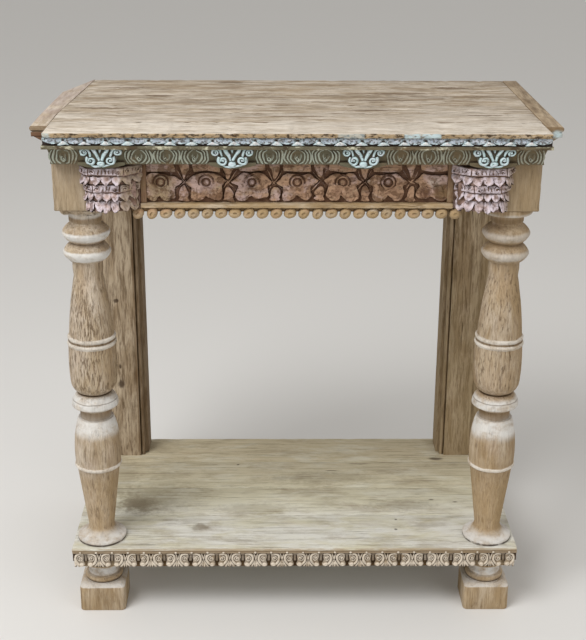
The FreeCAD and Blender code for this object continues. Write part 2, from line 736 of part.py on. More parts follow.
def boss_plan(level, grow):
    """Corner points (x, y) of the right boss at a level from 0 at its top to 1."""
    half = BOSS_TOP_HALF + (BOSS_BOTTOM_HALF - BOSS_TOP_HALF) * level + grow
    front_half = BOSS_TOP_FRONT_HALF + (BOSS_BOTTOM_FRONT_HALF - BOSS_TOP_FRONT_HALF) * level
    projection = BOSS_TOP_PROJECTION + (BOSS_BOTTOM_PROJECTION - BOSS_TOP_PROJECTION) * level + grow
    front = BLOCK_FRONT - projection
    return [
        (BOSS_X + half, BLOCK_FRONT),
        (BOSS_X + front_half, front),
        (BOSS_X - front_half, front),
        (BOSS_X - half, STILE_FRONT),
    ]


def boss_tier(level, grow, low, high):
    behind = [(BLOCK_INNER, STILE_FRONT), (BLOCK_INNER, BLOCK_FRONT)]
    return plan_prism(boss_plan(level, grow) + behind, low, high)


def boss_petal(start, end, low, high):
    """A round-tipped petal standing out from the face between two plan points."""
    along = end - start
    outward = Vector(-along.y, along.x, 0).normalize()
    top = Vector(0, 0, high)
    left = start + top - outward * BOSS_PETAL_ROOT
    right = end + top - outward * BOSS_PETAL_ROOT
    straight = Vector(0, 0, (low - high) * BOSS_PETAL_STRAIGHT)
    tip = (left + right) * 0.5 + Vector(0, 0, low - high)
    shape = outline(left, [right, right + straight, (tip, left + straight)])
    return prism(shape, outward * (BOSS_PETAL_RELIEF + BOSS_PETAL_ROOT))


def petal_row(level, low, high):
    """Petals along the outer, front and inner faces of the right boss."""
    plan = [Vector(x, y, 0) for x, y in boss_plan(level, 0)]
    petals = []
    for start, end, count in zip(plan, plan[1:], BOSS_FACE_PETALS):
        step = (end - start) / count
        margin = step * ((1 - BOSS_PETAL_FILL) / 2)
        for index in range(count):
            first = start + step * index
            petals.append(boss_petal(first + margin, first + step - margin, low, high))
    return petals


def boss_shapes(crown):
    """Five tiers from the crown down: plaque, petals, plaque, petals, long petals."""
    heights = [BOSS_PLAQUE_HEIGHT, BOSS_PETAL_ROW_HEIGHT] * 2 + [BOSS_SKIRT_HEIGHT]
    shapes = []
    high = crown
    for height in heights:
        low = high - height
        level = (crown - (low + high) / 2) / sum(heights)
        shapes.append(boss_tier(level, 0, low, high))
        if height == BOSS_PLAQUE_HEIGHT:
            margin = BOSS_PLAQUE_MARGIN
            shapes.append(boss_tier(level, BOSS_PLAQUE_RELIEF, low + margin, high - margin))
        else:
            shapes += petal_row(level, low, high)
        high = low
    return shapes, high


def make_petal_bosses():
    shapes, foot = boss_shapes(BLOCK_TOP - CORNICE_LOBE_DROP)
    root_x = (STILE_OUTER, BLOCK_INNER)
    root = block(root_x, (STILE_FRONT, RAIL_FACE), (FRIEZE_BOTTOM, BLOCK_TOP))
    z_range = (foot, BLOCK_TOP)
    leg_room = block((BLOCK_INNER, BLOCK_OUTER), (BLOCK_FRONT, RAIL_FACE), z_range)
    stile_room = block((0, STILE_OUTER), (STILE_FRONT, RAIL_FACE), z_range)
    save_pair("petal_boss", fused(shapes + [root]).cut([leg_room, stile_room]))


# Rear posts

def make_rear_posts():
    step = POST_FRONT + POST_WING_STEP
    back_step = step + POST_WING_STEP
    bead_out = POST_FACE_INNER - 2 * POST_BEAD_RADIUS
    z = SHELF_TOP

    def at(x, y):
        return Vector(x, y, z)

    section = outline(at(POST_OUTER, POST_BACK), [
        at(POST_OUTER, step),
        at(POST_FACE_OUTER, step),
        at(POST_FACE_OUTER, POST_FRONT),
        at(POST_FACE_INNER, POST_FRONT),
        at(POST_FACE_INNER, step),
        (at(POST_FACE_INNER - POST_BEAD_RADIUS, step - POST_BEAD_RADIUS), at(bead_out, step)),
        at(bead_out, back_step),
        at(POST_INNER, back_step),
        at(POST_INNER, POST_BACK),
    ])
    post = prism(section, Vector(0, 0, TOP_UNDERSIDE - z))
    post = post.cut(dowel_hole(POST_X, POST_Y, z, z + DOWEL_DEPTH))
    post = post.cut(side_rail_tenon(POST_FRONT, 1, TENON_CLEARANCE)).cut(back_rail_tenon(TENON_CLEARANCE))
    save_pair("rear_post", post)


# Shelf

def pin_places():
    return [(side * x, y) for side in (-1, 1) for x, y in ((LEG_X, LEG_Y), (POST_X, POST_Y))]


def make_shelf_boards():
    outer_boards = SHELF_FRONT_BOARD_WIDTH + SHELF_SECOND_BOARD_WIDTH + SHELF_BACK_BOARD_WIDTH
    widths = {
        "shelf_board_front": SHELF_FRONT_BOARD_WIDTH,
        "shelf_board_second": SHELF_SECOND_BOARD_WIDTH,
        "shelf_board_third": BACK - SHELF_FRONT - outer_boards,
        "shelf_board_back": SHELF_BACK_BOARD_WIDTH,
    }
    holes = [dowel_hole(x, y, BEARER_TOP, SHELF_TOP) for x, y in pin_places()]
    x_range = (-SHELF_HALF, SHELF_HALF)
    rebate = block(x_range, (SHELF_FRONT, EDGING_BACK), (BEARER_TOP, EDGING_TOP))
    for name, low, high in board_spans(widths, SHELF_FRONT):
        board = block(x_range, (low, high), (BEARER_TOP, SHELF_TOP))
        save(name, board.cut(holes + [rebate]))


def edging_lower_edge():
    """Two round lobes to a unit, and a small drop where two units meet."""
    units = round(2 * SHELF_HALF / EDGING_UNIT_WIDTH)
    pitch = 2 * SHELF_HALF / units
    drop_half = pitch * EDGING_DROP_SHARE / 2
    root = EDGING_BOTTOM + EDGING_LOBE_DROP

    def at(x, z):
        return Vector(x, SHELF_FRONT, z)

    steps = []
    for index in range(units):
        left = -SHELF_HALF + index * pitch
        middle = left + pitch / 2
        right = left + pitch
        first, last = left + drop_half, right - drop_half
        drop = root - EDGING_DROP_DEPTH
        if index == 0:
            steps += [at(left, drop), at(first, root)]
        steps.append((at((first + middle) / 2, EDGING_BOTTOM), at(middle, root)))
        steps.append((at((middle + last) / 2, EDGING_BOTTOM), at(last, root)))
        if index < units - 1:
            steps.append((at(right, drop), at(right + drop_half, root)))
        else:
            steps.append(at(right, drop))
    return steps


def make_shelf_frame():
    corner = Vector(-SHELF_HALF, SHELF_FRONT, EDGING_TOP)
    steps = edging_lower_edge() + [Vector(SHELF_HALF, SHELF_FRONT, EDGING_TOP)]
    save("shelf_edging", prism(outline(corner, steps), Vector(0, EDGING_THICK, 0)))
    bearer_x = (LEG_X - BEARER_WIDTH / 2, LEG_X + BEARER_WIDTH / 2)
    bearer = block(bearer_x, (EDGING_BACK, POST_BACK), (FOOT_HEIGHT, BEARER_TOP))
    holes = [dowel_hole(x, y, FOOT_HEIGHT, BEARER_TOP) for x, y in pin_places()]
    save_pair("shelf_bearer", bearer.cut(holes))
    rail_y = (EDGING_BACK, EDGING_BACK + SHELF_RAIL_THICK)
    save("shelf_rail", block((-bearer_x[0], bearer_x[0]), rail_y, (FOOT_HEIGHT, BEARER_TOP)))


# Feet and dowels

def foot_block(x, y, height):
    """A square block with its upright corners taken off."""
    half = FOOT_SIZE / 2
    cut = FOOT_CORNER_CHAMFER
    plan = []
    for sx, sy in ((1, 1), (-1, 1), (-1, -1), (1, -1)):
        near_x = (x + sx * half, y + sy * (half - cut))
        near_y = (x + sx * (half - cut), y + sy * half)
        plan += [near_x, near_y] if sx * sy > 0 else [near_y, near_x]
    return plan_prism(plan, 0, height)


def make_front_feet():
    torus_low = FOOT_BLOCK_HEIGHT + FOOT_SLOPE
    torus_high = torus_low + FOOT_TORUS_WIDTH
    torus_in = FOOT_TORUS_RADIUS - FOOT_TORUS_WIDTH / 2
    cove_low = (FOOT_FILLET_RADIUS, torus_high + FOOT_FILLET_WIDTH)
    cove_high = (FOOT_COVE_LIP_RADIUS, cove_low[1] + FOOT_COVE_WIDTH)
    turning = turned((0, FOOT_BLOCK_HEIGHT), [
        (FOOT_SIZE / 2, FOOT_BLOCK_HEIGHT),
        (FOOT_TORUS_RADIUS, torus_low),
        (torus_in, torus_low),
        swelled((torus_in, torus_low), (torus_in, torus_high), FOOT_TORUS_WIDTH / 2),
        (FOOT_FILLET_RADIUS, torus_high),
        cove_low,
        swelled(cove_low, cove_high, -FOOT_COVE_HOLLOW),
        (FOOT_CROWN_RADIUS, FOOT_HEIGHT - FOOT_CROWN_RIM),
        (FOOT_CROWN_RADIUS, FOOT_HEIGHT),
        (0, FOOT_HEIGHT),
    ], LEG_X, LEG_Y, 0)
    foot = foot_block(LEG_X, LEG_Y, FOOT_BLOCK_HEIGHT).fuse(turning)
    foot = foot.cut(dowel_hole(LEG_X, LEG_Y, FOOT_HEIGHT - DOWEL_DEPTH, FOOT_HEIGHT))
    save_pair("front_foot", foot)


def make_rear_feet():
    y = POST_BACK - FOOT_SIZE / 2
    foot = foot_block(LEG_X, y, FOOT_HEIGHT)
    foot = foot.cut(dowel_hole(POST_X, POST_Y, FOOT_HEIGHT - DOWEL_DEPTH, FOOT_HEIGHT))
    save_pair("rear_foot", foot)


def make_dowels():
    low = FOOT_HEIGHT - DOWEL_DEPTH
    length = SHELF_TOP + DOWEL_DEPTH - low
    pins = [Part.makeCylinder(DOWEL_RADIUS, length, Vector(x, y, low)) for x, y in pin_places()]
    save("standing_dowels", Part.makeCompound(pins))


def main():
    os.makedirs("parts", exist_ok=True)
    make_top_boards()
    make_end_boards()
    make_petal_moulding()
    make_cornice()
    make_front_legs()
    make_rails()
    make_frieze()
    make_bead_strip()
    make_petal_bosses()
    make_rear_posts()
    make_shelf_boards()
    make_shelf_frame()
    make_front_feet()
    make_rear_feet()
    make_dowels()


main()
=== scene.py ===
import math
from contextlib import contextmanager

import bmesh
import bpy
from bpy.props import FloatProperty, FloatVectorProperty, IntProperty, PointerProperty
from mathutils import Matrix, Vector, noise


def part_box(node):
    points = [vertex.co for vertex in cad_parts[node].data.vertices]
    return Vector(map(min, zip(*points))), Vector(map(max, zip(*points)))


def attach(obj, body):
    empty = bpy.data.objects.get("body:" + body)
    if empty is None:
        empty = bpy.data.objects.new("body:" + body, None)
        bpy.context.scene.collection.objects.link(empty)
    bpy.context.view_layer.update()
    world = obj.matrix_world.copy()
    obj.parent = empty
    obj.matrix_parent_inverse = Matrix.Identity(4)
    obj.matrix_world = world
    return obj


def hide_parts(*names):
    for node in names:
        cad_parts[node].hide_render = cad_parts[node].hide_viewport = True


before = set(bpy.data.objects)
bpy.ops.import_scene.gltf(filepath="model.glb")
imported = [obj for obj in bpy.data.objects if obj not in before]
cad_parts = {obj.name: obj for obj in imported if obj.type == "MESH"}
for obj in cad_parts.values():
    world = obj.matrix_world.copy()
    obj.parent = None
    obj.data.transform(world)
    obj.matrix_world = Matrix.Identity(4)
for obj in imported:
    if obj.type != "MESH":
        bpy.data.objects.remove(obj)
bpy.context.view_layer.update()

bl_info = {
    "name": "Carved pier table",
    "version": (1, 0, 0),
    "blender": (4, 5, 0),
    "location": "View3D > Sidebar > Pier table",
    "description": "Carving, turning and old finishes of a wooden pier table",
    "category": "Object",
}

MM = 0.001
MIRROR_X = Matrix.Scale(-1, 4, (1, 0, 0))

# Places in millimetres
LEG_X, LEG_Y = 337.5, -152.5
SHELF_TOP, HEAD_LOW, HEAD_HIGH, TOP_HIGH = 129, 729, 809, 860
HEAD_HALF, FOOT_HALF = 42, 39.5
COVE_MIDDLE, COVE_HEIGHT = 822, 26
FRIEZE_END, FRIEZE_FRONT, FRIEZE_MIDDLE, FRIEZE_PITCH = 235, -177, 773, 71
BOSS_ROOT, BOSS_FACE, BOSS_HIGH, BOSS_HEIGHT = 288, 294, 803.5, 72
PEARL_FRONT, PEARL_MIDDLE = -179.5, 722.4
EDGING_FRONT, LIP_LOW = -194, 123

# How close the grain lies, along and across a board
ALONG_X, ALONG_Y, ALONG_Z = (14, 190, 190), (190, 14, 190), (190, 190, 13)

# Shades of wood from 0 to 3
WOODS = ("pale", "tan", "brown", "deep")
BLACK = Vector((0, 0, 0))
LUMINANCE = Vector((0.2126, 0.7152, 0.0722))


# What a user may change

def srgb(*display):
    """A colour named by its 0 to 255 display values."""
    values = [value / 255 for value in display]
    return [value / 12.92 if value <= 0.04045 else ((value + 0.055) / 1.055) ** 2.4 for value in values]


def length(name, description, millimetres):
    return FloatProperty(name=name, description=description, default=millimetres * MM, min=0, unit="LENGTH")


def count(name, description, default, least):
    return IntProperty(name=name, description=description, default=default, min=least)


def colour(name, description, *display):
    return FloatVectorProperty(name=name, description=description, default=srgb(*display), size=3, min=0, max=1,
                               subtype="COLOR")


class TableSizes(bpy.types.PropertyGroup):
    """Sizes of the carving and the wear."""
    board_wear: length("Board wear", "How far the board edges are worn back", 1.3)
    turning_wear: length("Turning wear", "How round the turned edges have worn", 0.9)
    block_wear: length("Block wear", "How round the block edges have worn", 2.2)
    rib: length("Rib", "Width of the carved ribs on the cornice", 3.6)
    scroll_rib: length("Scroll rib", "Width of the scroll ribs on the cornice bosses", 5.0)
    edging_rib: length("Edging rib", "Width of the scroll ribs on the shelf edging", 3.4)
    petals: count("Petals", "Petals along the moulding under the top", 24, 4)
    beads: count("Beads", "Pearls in the strip under the frieze", 24, 4)
    edging_units: count("Edging units", "Scroll pairs along the shelf", 17, 2)


class TableColours(bpy.types.PropertyGroup):
    """Colours of the old wood and paints."""
    pale: colour("Pale wood", "Bleached wood", 222, 211, 195)
    tan: colour("Tan wood", "Plain weathered wood", 178, 157, 127)
    honey: colour("Honey wood", "Golden wood of the turnings and the rail", 174, 146, 104)
    brown: colour("Brown wood", "Dark grain and stains", 118, 94, 64)
    deep: colour("Deep brown", "Cracks, pits and hollows", 56, 38, 24)
    white: colour("White wash", "Remains of white wash", 226, 226, 224)
    cream: colour("Cream wash", "Wash of the shelf", 210, 207, 182)
    aqua: colour("Aqua", "Bright remains of paint on the petal tips", 198, 218, 222)
    duck_egg: colour("Duck egg", "Paint of the petal moulding", 168, 180, 193)
    mint: colour("Mint", "Paint of the cornice scrolls", 172, 198, 198)
    olive: colour("Olive", "Paint of the cornice", 104, 102, 84)
    lilac: colour("Lilac", "Paint of the petal bosses", 216, 202, 213)
    pink: colour("Pink", "Dusty paint of the frieze", 188, 150, 122)
    rose: colour("Rose brown", "Stained ground of the frieze", 110, 77, 58)


# Modelling helpers

def deselect():
    if bpy.context.object and bpy.context.object.mode != "OBJECT":
        bpy.ops.object.mode_set(mode="OBJECT")
    bpy.ops.object.select_all(action="DESELECT")


def activate(piece):
    deselect()
    piece.select_set(True)
    bpy.context.view_layer.objects.active = piece


def added(name, data):
    """A new object in the scene."""
    piece = bpy.data.objects.new(name, data)
    bpy.context.collection.objects.link(piece)
    return piece


@contextmanager
def editing(piece, kind="FACE", action="DESELECT"):
    """Edit mode with nothing selected, or everything; gives the mesh being edited."""
    activate(piece)
    bpy.ops.object.mode_set(mode="EDIT")
    bpy.ops.mesh.select_mode(type=kind)
    bpy.ops.mesh.select_all(action=action)
    yield bmesh.from_edit_mesh(piece.data)
    bpy.ops.object.mode_set(mode="OBJECT")


def pick(piece, elements, test):
    """Selects the faces or edges that pass a test."""
    for element in elements:
        element.select_set(bool(test(element)))
    bmesh.update_edit_mesh(piece.data)


def extrude(x, y, z):
    """Draws the selected faces out, in millimetres."""
    bpy.ops.mesh.extrude_region_move(TRANSFORM_OT_translate={"value": (x * MM, y * MM, z * MM)})


def modify(piece, kind, **settings):
    activate(piece)
    modifier = piece.modifiers.new(kind.title(), kind)
    for key, value in settings.items():
        setattr(modifier, key, value)
    bpy.ops.object.modifier_apply(modifier=modifier.name)
    return piece


def soften(piece, width, segments=2, angle=35):
    return modify(piece, "BEVEL", width=width, segments=segments, limit_method="ANGLE",
                  angle_limit=math.radians(angle), use_clamp_overlap=True)


def smooth(piece, angle=40):
    activate(piece)
    bpy.ops.object.shade_smooth_by_angle(angle=math.radians(angle))
    return piece


def settle(piece):
    """Applies the placing, so that the object sits at the origin."""
    activate(piece)
    bpy.ops.object.transform_apply(location=True, rotation=True, scale=True)
    return piece


def tidy(piece):
    """Merges doubles and turns the faces outward."""
    with editing(piece, action="SELECT"):
        bpy.ops.mesh.remove_doubles(threshold=1e-6)
        bpy.ops.mesh.normals_make_consistent(inside=False)
    return piece


def box(low, high):
    """A block between two corners in millimetres."""
    deselect()
    bpy.ops.mesh.primitive_cube_add(size=1, location=[(a + b) / 2 * MM for a, b in zip(low, high)])
    piece = bpy.context.object
    piece.scale = [(b - a) * MM for a, b in zip(low, high)]
    return settle(piece)


def prism(outline, *push):
    """A block on an outline of points in millimetres, extruded by a push."""
    mesh = bpy.data.meshes.new("prism")
    mesh.from_pydata([[value * MM for value in point] for point in outline], [], [tuple(range(len(outline)))])
    piece = added("prism", mesh)
    with editing(piece, action="SELECT"):
        extrude(*push)
    return tidy(piece)


def joined(pieces, name):
    deselect()
    for piece in pieces:
        piece.select_set(True)
    bpy.context.view_layer.objects.active = pieces[0]
    if len(pieces) > 1:
        bpy.ops.object.join()
    pieces[0].name = name
    return pieces[0]


def moved(piece, *moves):
    """The piece itself, with the given matrices applied in turn."""
    for move in moves:
        piece.data.transform(move)
        if move.determinant() < 0:
            piece.data.flip_normals()
    return piece


def copied(piece, *moves, name=None):
    """A copy with its own mesh, with the given matrices applied in turn."""
    return moved(added(name or piece.name, piece.data.copy()), *moves)


def pair(piece):
    """The piece and its mirror image across the middle."""
    return [piece, copied(piece, MIRROR_X)]


def drop(*pieces):
    for piece in pieces:
        bpy.data.objects.remove(piece)


def shift(x, y, z):
    return Matrix.Translation((x * MM, y * MM, z * MM))


def node_box(node):
    """The corners of a CAD node in millimetres."""
    return [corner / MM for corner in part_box(node)]


def node_copy(node, name):
    """A merged copy of a CAD node, free to be shaped."""
    piece = added(name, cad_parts[node].data.copy())
    piece.data.materials.clear()
    with editing(piece, action="SELECT"):
        bpy.ops.mesh.customdata_custom_splitnormals_clear()
        bpy.ops.mesh.remove_doubles(threshold=1e-6)
        bpy.ops.mesh.dissolve_limited(angle_limit=math.radians(1))
    return piece


def chip(piece, depth, size, seed):
    """Wears the surface back by a steady noise, deeper in a few places."""
    piece.data.update()
    normals = [normal.vector.copy() for normal in piece.data.vertex_normals]
    for vertex, normal in zip(piece.data.vertices, normals):
        spot = vertex.co / (size * MM) + Vector((seed * 7.3, seed * 3.1, 0))
        bite = max(0, noise.noise(spot)) * 1.2 + max(0, noise.noise(spot * 3.1) - 0.2)
        vertex.co -= normal * bite * depth
    return piece


def sway(piece, reach, size, seed):
    """Moves points sideways by a steady noise, as a carver's uneven hand does, in millimetres."""
    noise.seed_set(seed + 1)  # a seed of 0 would differ from run to run
    for vertex in piece.data.vertices:
        drift = noise.noise_vector(vertex.co / (size * MM) + Vector((seed * 5.7, 0, seed * 2.9)))
        vertex.co += Vector((drift.x, 0, drift.z)) * reach * MM
    return piece


def span_along(edge, axis):
    first, second = edge.verts
    return abs(first.co[axis] - second.co[axis])


def worn(piece, axis, pitch, wear, depth, size, seed, segments=2):
    """Divides the long edges, rounds them and chips them."""
    with editing(piece, "EDGE") as mesh:
        edges = [edge for edge in mesh.edges if span_along(edge, axis) > 0.9 * edge.calc_length()]
        longest = max(edge.calc_length() for edge in edges)
        pick(piece, edges, lambda edge: edge.calc_length() > 0.7 * longest)
        bpy.ops.mesh.subdivide(number_cuts=max(1, int(longest / (pitch * MM))))
    return smooth(chip(soften(piece, wear, segments), depth, size, seed))


def store_relief(piece, heights):
    """Stores the heights of the carving, from 0 to 1, which the finishes read."""
    layers = piece.data.attributes
    layer = layers.get("relief") or layers.new("relief", "FLOAT", "POINT")
    for value, height in zip(layer.data, heights):
        value.value = min(1, max(0, height))
    return piece


def level_relief(piece, height):
    return store_relief(piece, [height] * len(piece.data.vertices))


def mark_relief(piece, deepest, proudest):
    """Marks how far each point stands out towards the front."""
    return store_relief(piece, [(-vertex.co.y / MM - deepest) / (proudest - deepest)
                                for vertex in piece.data.vertices])


def front_relief(piece):
    """Marks a rounded form as high where it faces the front and low down its flanks."""
    return store_relief(piece, [0.2 - vertex.normal.y for vertex in piece.data.vertices])


# Carving: ribs, scrolls and leaves, all facing the front, in millimetres

def rib(points, widths, proud=1.0, sides=2, steps=4):
    """A round rib along (x, z) or (x, y, z) points; it stands proud times its half width."""
    curve = bpy.data.curves.new("rib", "CURVE")
    curve.dimensions = "3D"
    curve.bevel_depth = MM / 2
    curve.bevel_resolution = sides
    curve.use_fill_caps = True
    spline = curve.splines.new("NURBS")
    spline.points.add(len(points) - 1)
    if not hasattr(widths, "__len__"):
        widths = [widths] * len(points)
    flat = len(points[0]) == 2
    for knot, point, width in zip(spline.points, points, widths):
        x, y, z = (point[0], 0, point[1]) if flat else point
        knot.co = (x * MM, y * MM, z * MM, 1)
        knot.radius = width
    spline.order_u = 3
    spline.use_endpoint_u = True
    spline.resolution_u = steps
    activate(added("rib", curve))
    bpy.ops.object.convert(target="MESH")
    piece = bpy.context.object
    if flat:
        piece.data.transform(Matrix.Scale(proud, 4, (0, 1, 0)))
    return front_relief(tidy(piece))


def volute(x, z, radius, turns, start, hand=1, inner=0.18):
    """Points of a spiral that winds inward from a start angle in degrees."""
    points = []
    last = int(turns * 8)
    for index in range(last + 1):
        share = index / last
        reach = radius * (1 - (1 - inner) * share)
        angle = math.radians(start) + hand * turns * share * 2 * math.pi
        points.append((x + reach * math.cos(angle), z + reach * math.sin(angle)))
    return points


def leaf(width, height, crown, lean=0.0, tip=0.5, dish=0.0, thick=2.0, cells=6, sharp=0.0, rim=None):
    """A petal hanging from its root at the origin, crowned or dished, leaning out to its tip.

    Sharp draws the tip to a point; rim is how light the middle is beside the edges."""
    deselect()
    bpy.ops.mesh.primitive_grid_add(x_subdivisions=cells, y_subdivisions=cells, size=2)
    piece = bpy.context.object
    edges = []
    for vertex in piece.data.vertices:
        across, down = vertex.co.x, (1 - vertex.co.y) / 2
        past = min(1, max(0, down - tip) / (1 - tip))
        narrow = max(0.12, (1 - past ** (2 - sharp)) ** (0.5 + 0.5 * sharp))
        bow = (1 - across ** 4) * (1 - dish * (1 - abs(across)) ** 2)
        out = crown * bow * (0.55 + 0.45 * math.sin(math.pi * min(1, down * 0.9))) + lean * down
        vertex.co = Vector((across * width / 2 * narrow, -out, -down * height)) * MM
        edges.append(max(across ** 2, down ** 3))
    settle(piece)
    if rim is not None:
        store_relief(piece, [rim + (1 - rim) * edge for edge in edges])
    tidy(modify(piece, "SOLIDIFY", thickness=thick * MM, offset=-1))
    if rim is None:
        mark_relief(piece, -thick, crown + lean)
    return smooth(piece, 50)


def rounded(points, steps=4):
    """Points of a smooth line through the given (x, z) points."""
    ends = [points[0], *points, points[-1]]
    line = [points[0]]
    for before, start, end, after in zip(ends, ends[1:], ends[2:], ends[3:]):
        for step in range(1, steps + 1):
            t = step / steps
            line.append(tuple(0.5 * (2 * b + (c - a) * t + (2 * a - 5 * b + 4 * c - d) * t ** 2
                                     + (3 * b - a - 3 * c + d) * t ** 3)
                              for a, b, c, d in zip(before, start, end, after)))
    return line


def mirrored(half):
    """A closed outline from its right half, which starts and ends on the middle line."""
    return half + [(-x, z) for x, z in reversed(half[1:-1])]


def slab(outline, proud, wear=1.2):
    """A flat carved form on an (x, z) outline, its front edges worn round."""
    piece = prism([(x, 0, z) for x, z in outline], 0, -proud, 0)
    with editing(piece, "EDGE") as mesh:
        pick(piece, mesh.edges, lambda edge: all(v.co.y < -0.9 * proud * MM for v in edge.verts))
        bpy.ops.mesh.bevel(offset=wear * MM, segments=2, affect="EDGES")
    return smooth(mark_relief(piece, 0, proud))


def knob(x, z, width, height, proud):
    """A small carved boss, flattened from a ball and dimpled in front."""
    deselect()
    bpy.ops.mesh.primitive_uv_sphere_add(segments=14, ring_count=8, radius=0.5 * MM,
                                         rotation=(math.pi / 2, 0, 0))
    piece = settle(bpy.context.object)
    with editing(piece) as mesh:
        pick(piece, mesh.faces, lambda face: face.normal.y < -0.93)
        bpy.ops.mesh.inset(thickness=0.05 * MM, depth=-0.04 * MM)
    mark_relief(moved(piece, Matrix.Diagonal((width, 2 * proud, height, 1))), -proud, proud)
    return smooth(moved(piece, shift(x, 0, z)), 60)


# Shader node groups

class Graph:
    """Short ways to add and link nodes in one node tree."""

    def __init__(self, tree):
        self.tree = tree

    def add(self, kind, inputs=None, **settings):
        node = self.tree.nodes.new(kind)
        for key, value in settings.items():
            setattr(node, key, value)
        for key, value in (inputs or {}).items():
            self.feed(node.inputs[key], value)
        return node

    def feed(self, socket, value):
        if isinstance(value, bpy.types.NodeSocket):
            self.tree.links.new(value, socket)
        elif socket.type == "RGBA" and len(value) == 3:
            socket.default_value = (*value, 1)
        else:
            socket.default_value = value

    def math(self, operation, first, second):
        return self.add("ShaderNodeMath", {0: first, 1: second}, operation=operation).outputs[0]

    def plus(self, first, second):
        return self.math("ADD", first, second)

    def minus(self, first, second):
        return self.math("SUBTRACT", first, second)

    def both(self, first, second):
        return self.math("MULTIPLY", first, second)

    def less(self, mask):
        return self.minus(1.0, mask)

    def vector(self, operation, *values):
        node = self.add("ShaderNodeVectorMath", operation=operation)
        for socket, value in zip(node.inputs, values):
            self.feed(socket, value)
        return node.outputs["Value" if operation == "LENGTH" else "Vector"]

    def ramp(self, value, low, high):
        inputs = {"Value": value, "From Min": low, "From Max": high}
        return self.add("ShaderNodeMapRange", inputs, interpolation_type="SMOOTHSTEP").outputs["Result"]

    def mix(self, mask, below, above):
        return self.add("ShaderNodeMix", {0: mask, 6: below, 7: above}, data_type="RGBA").outputs[2]

    def noise(self, place, scale, detail=3.0, rough=0.55, bend=0.0):
        inputs = {"Vector": place, "Scale": scale, "Detail": detail, "Roughness": rough, "Distortion": bend}
        return self.add("ShaderNodeTexNoise", inputs).outputs[0]


def node_group(name):
    """A shader group with named sockets, built once and then shared."""
    if name in bpy.data.node_groups:
        return bpy.data.node_groups[name]
    inputs, outputs, build = GROUPS[name]
    tree = bpy.data.node_groups.new(name, "ShaderNodeTree")
    for in_out, sockets in (("INPUT", inputs), ("OUTPUT", outputs)):
        for kind, labels in sockets.items():
            for label in labels.split():
                tree.interface.new_socket(label, in_out=in_out, socket_type="NodeSocket" + kind)
    graph = Graph(tree)
    source = graph.add("NodeGroupInput").outputs
    sink = graph.add("NodeGroupOutput").inputs
    for label, value in build(graph, source).items():
        graph.feed(sink[label], value)
    return tree


def stretched(graph, source):
    return graph.vector("MULTIPLY_ADD", source["Vector"], source["Stretch"], source["Offset"])


def build_grain(graph, source):
    place = stretched(graph, source)
    loose = graph.vector("MULTIPLY_ADD", source["Vector"], (9, 9, 9), graph.vector("MULTIPLY", place, (0.16,) * 3))
    smudge = graph.ramp(graph.noise(loose, 1.0, 5, 0.66, 0.4), 0.37, 0.65)
    fibre = graph.ramp(graph.noise(place, 0.6, 5, 0.7, 0.35), 0.46, 0.7)
    hair = graph.ramp(graph.noise(place, 2.1, 4, 0.7), 0.5, 0.7)
    ground = graph.mix(smudge, source["Pale"], source["Tan"])
    dark = graph.both(graph.both(fibre, source["Streaks"]), graph.plus(0.45, graph.both(smudge, 0.55)))
    fine = graph.both(hair, source["Lines"])
    toned = graph.mix(fine, graph.mix(dark, ground, source["Dark"]), source["Dark"])
    return {"Color": toned, "Height": graph.less(graph.plus(graph.both(dark, 0.7), fine))}


def build_patch(graph, source):
    field = graph.noise(stretched(graph, source), 1.0, 6, 0.66, 0.3)
    middle = graph.minus(0.78, graph.both(source["Cover"], 0.56))
    softness = source["Softness"]
    return {"Mask": graph.ramp(field, graph.minus(middle, softness), graph.plus(middle, softness))}


def build_spot(graph, source):
    away = graph.vector("DIVIDE", graph.vector("SUBTRACT", source["Vector"], source["Centre"]), source["Reach"])
    ragged = graph.both(graph.minus(graph.noise(source["Vector"], 90, 5, 0.65), 0.5), source["Ragged"])
    return {"Mask": graph.ramp(graph.plus(graph.vector("LENGTH", away), ragged), 1.15, 0.4)}


def build_slits(graph, source):
    place = stretched(graph, source)
    cell = graph.add("ShaderNodeTexVoronoi", {"Vector": place, "Scale": 1.0, "Randomness": 1.0})
    reach = graph.both(source["Amount"], graph.ramp(graph.noise(place, 0.21), 0.46, 0.72))
    return {"Mask": graph.ramp(cell.outputs["Distance"], reach, graph.both(reach, 0.4))}


# Ambient occlusion of a surface by itself, which the finishes turn into painted shade, with dirt, in hollows and
# crevices
def build_crevice(graph, source):
    shut = graph.add("ShaderNodeAmbientOcclusion", {"Distance": source["Distance"]}, samples=8, only_local=True)
    return {"Mask": graph.ramp(shut.outputs["AO"], source["Open"], source["Shut"])}


def build_band(graph, source):
    low, high, soft = source["Low"], source["High"], source["Soft"]
    ragged = graph.both(graph.minus(graph.noise(source["Vector"], 45, 5, 0.65), 0.5), source["Ragged"])
    level = graph.plus(source["Value"], ragged)
    rise = graph.ramp(level, graph.minus(low, soft), graph.plus(low, soft))
    fall = graph.ramp(level, graph.plus(high, soft), graph.minus(high, soft))
    return {"Mask": graph.both(rise, fall)}


# Each group's inputs, outputs and builder
PLACED = "Vector Stretch Offset"
GROUPS = {
    "Old grain": ({"Vector": PLACED, "Color": "Pale Tan Dark", "Float": "Streaks Lines"},
                  {"Color": "Color", "Float": "Height"}, build_grain),
    "Ragged patch": ({"Vector": PLACED, "Float": "Cover Softness"}, {"Float": "Mask"}, build_patch),
    "Spot": ({"Vector": "Vector Centre Reach", "Float": "Ragged"}, {"Float": "Mask"}, build_spot),
    "Slits": ({"Vector": PLACED, "Float": "Amount"}, {"Float": "Mask"}, build_slits),
    "Crevice shade and dirt": ({"Float": "Distance Open Shut"}, {"Float": "Mask"}, build_crevice),
    "Level band": ({"Vector": "Vector", "Float": "Value Low High Soft Ragged"}, {"Float": "Mask"}, build_band),
}


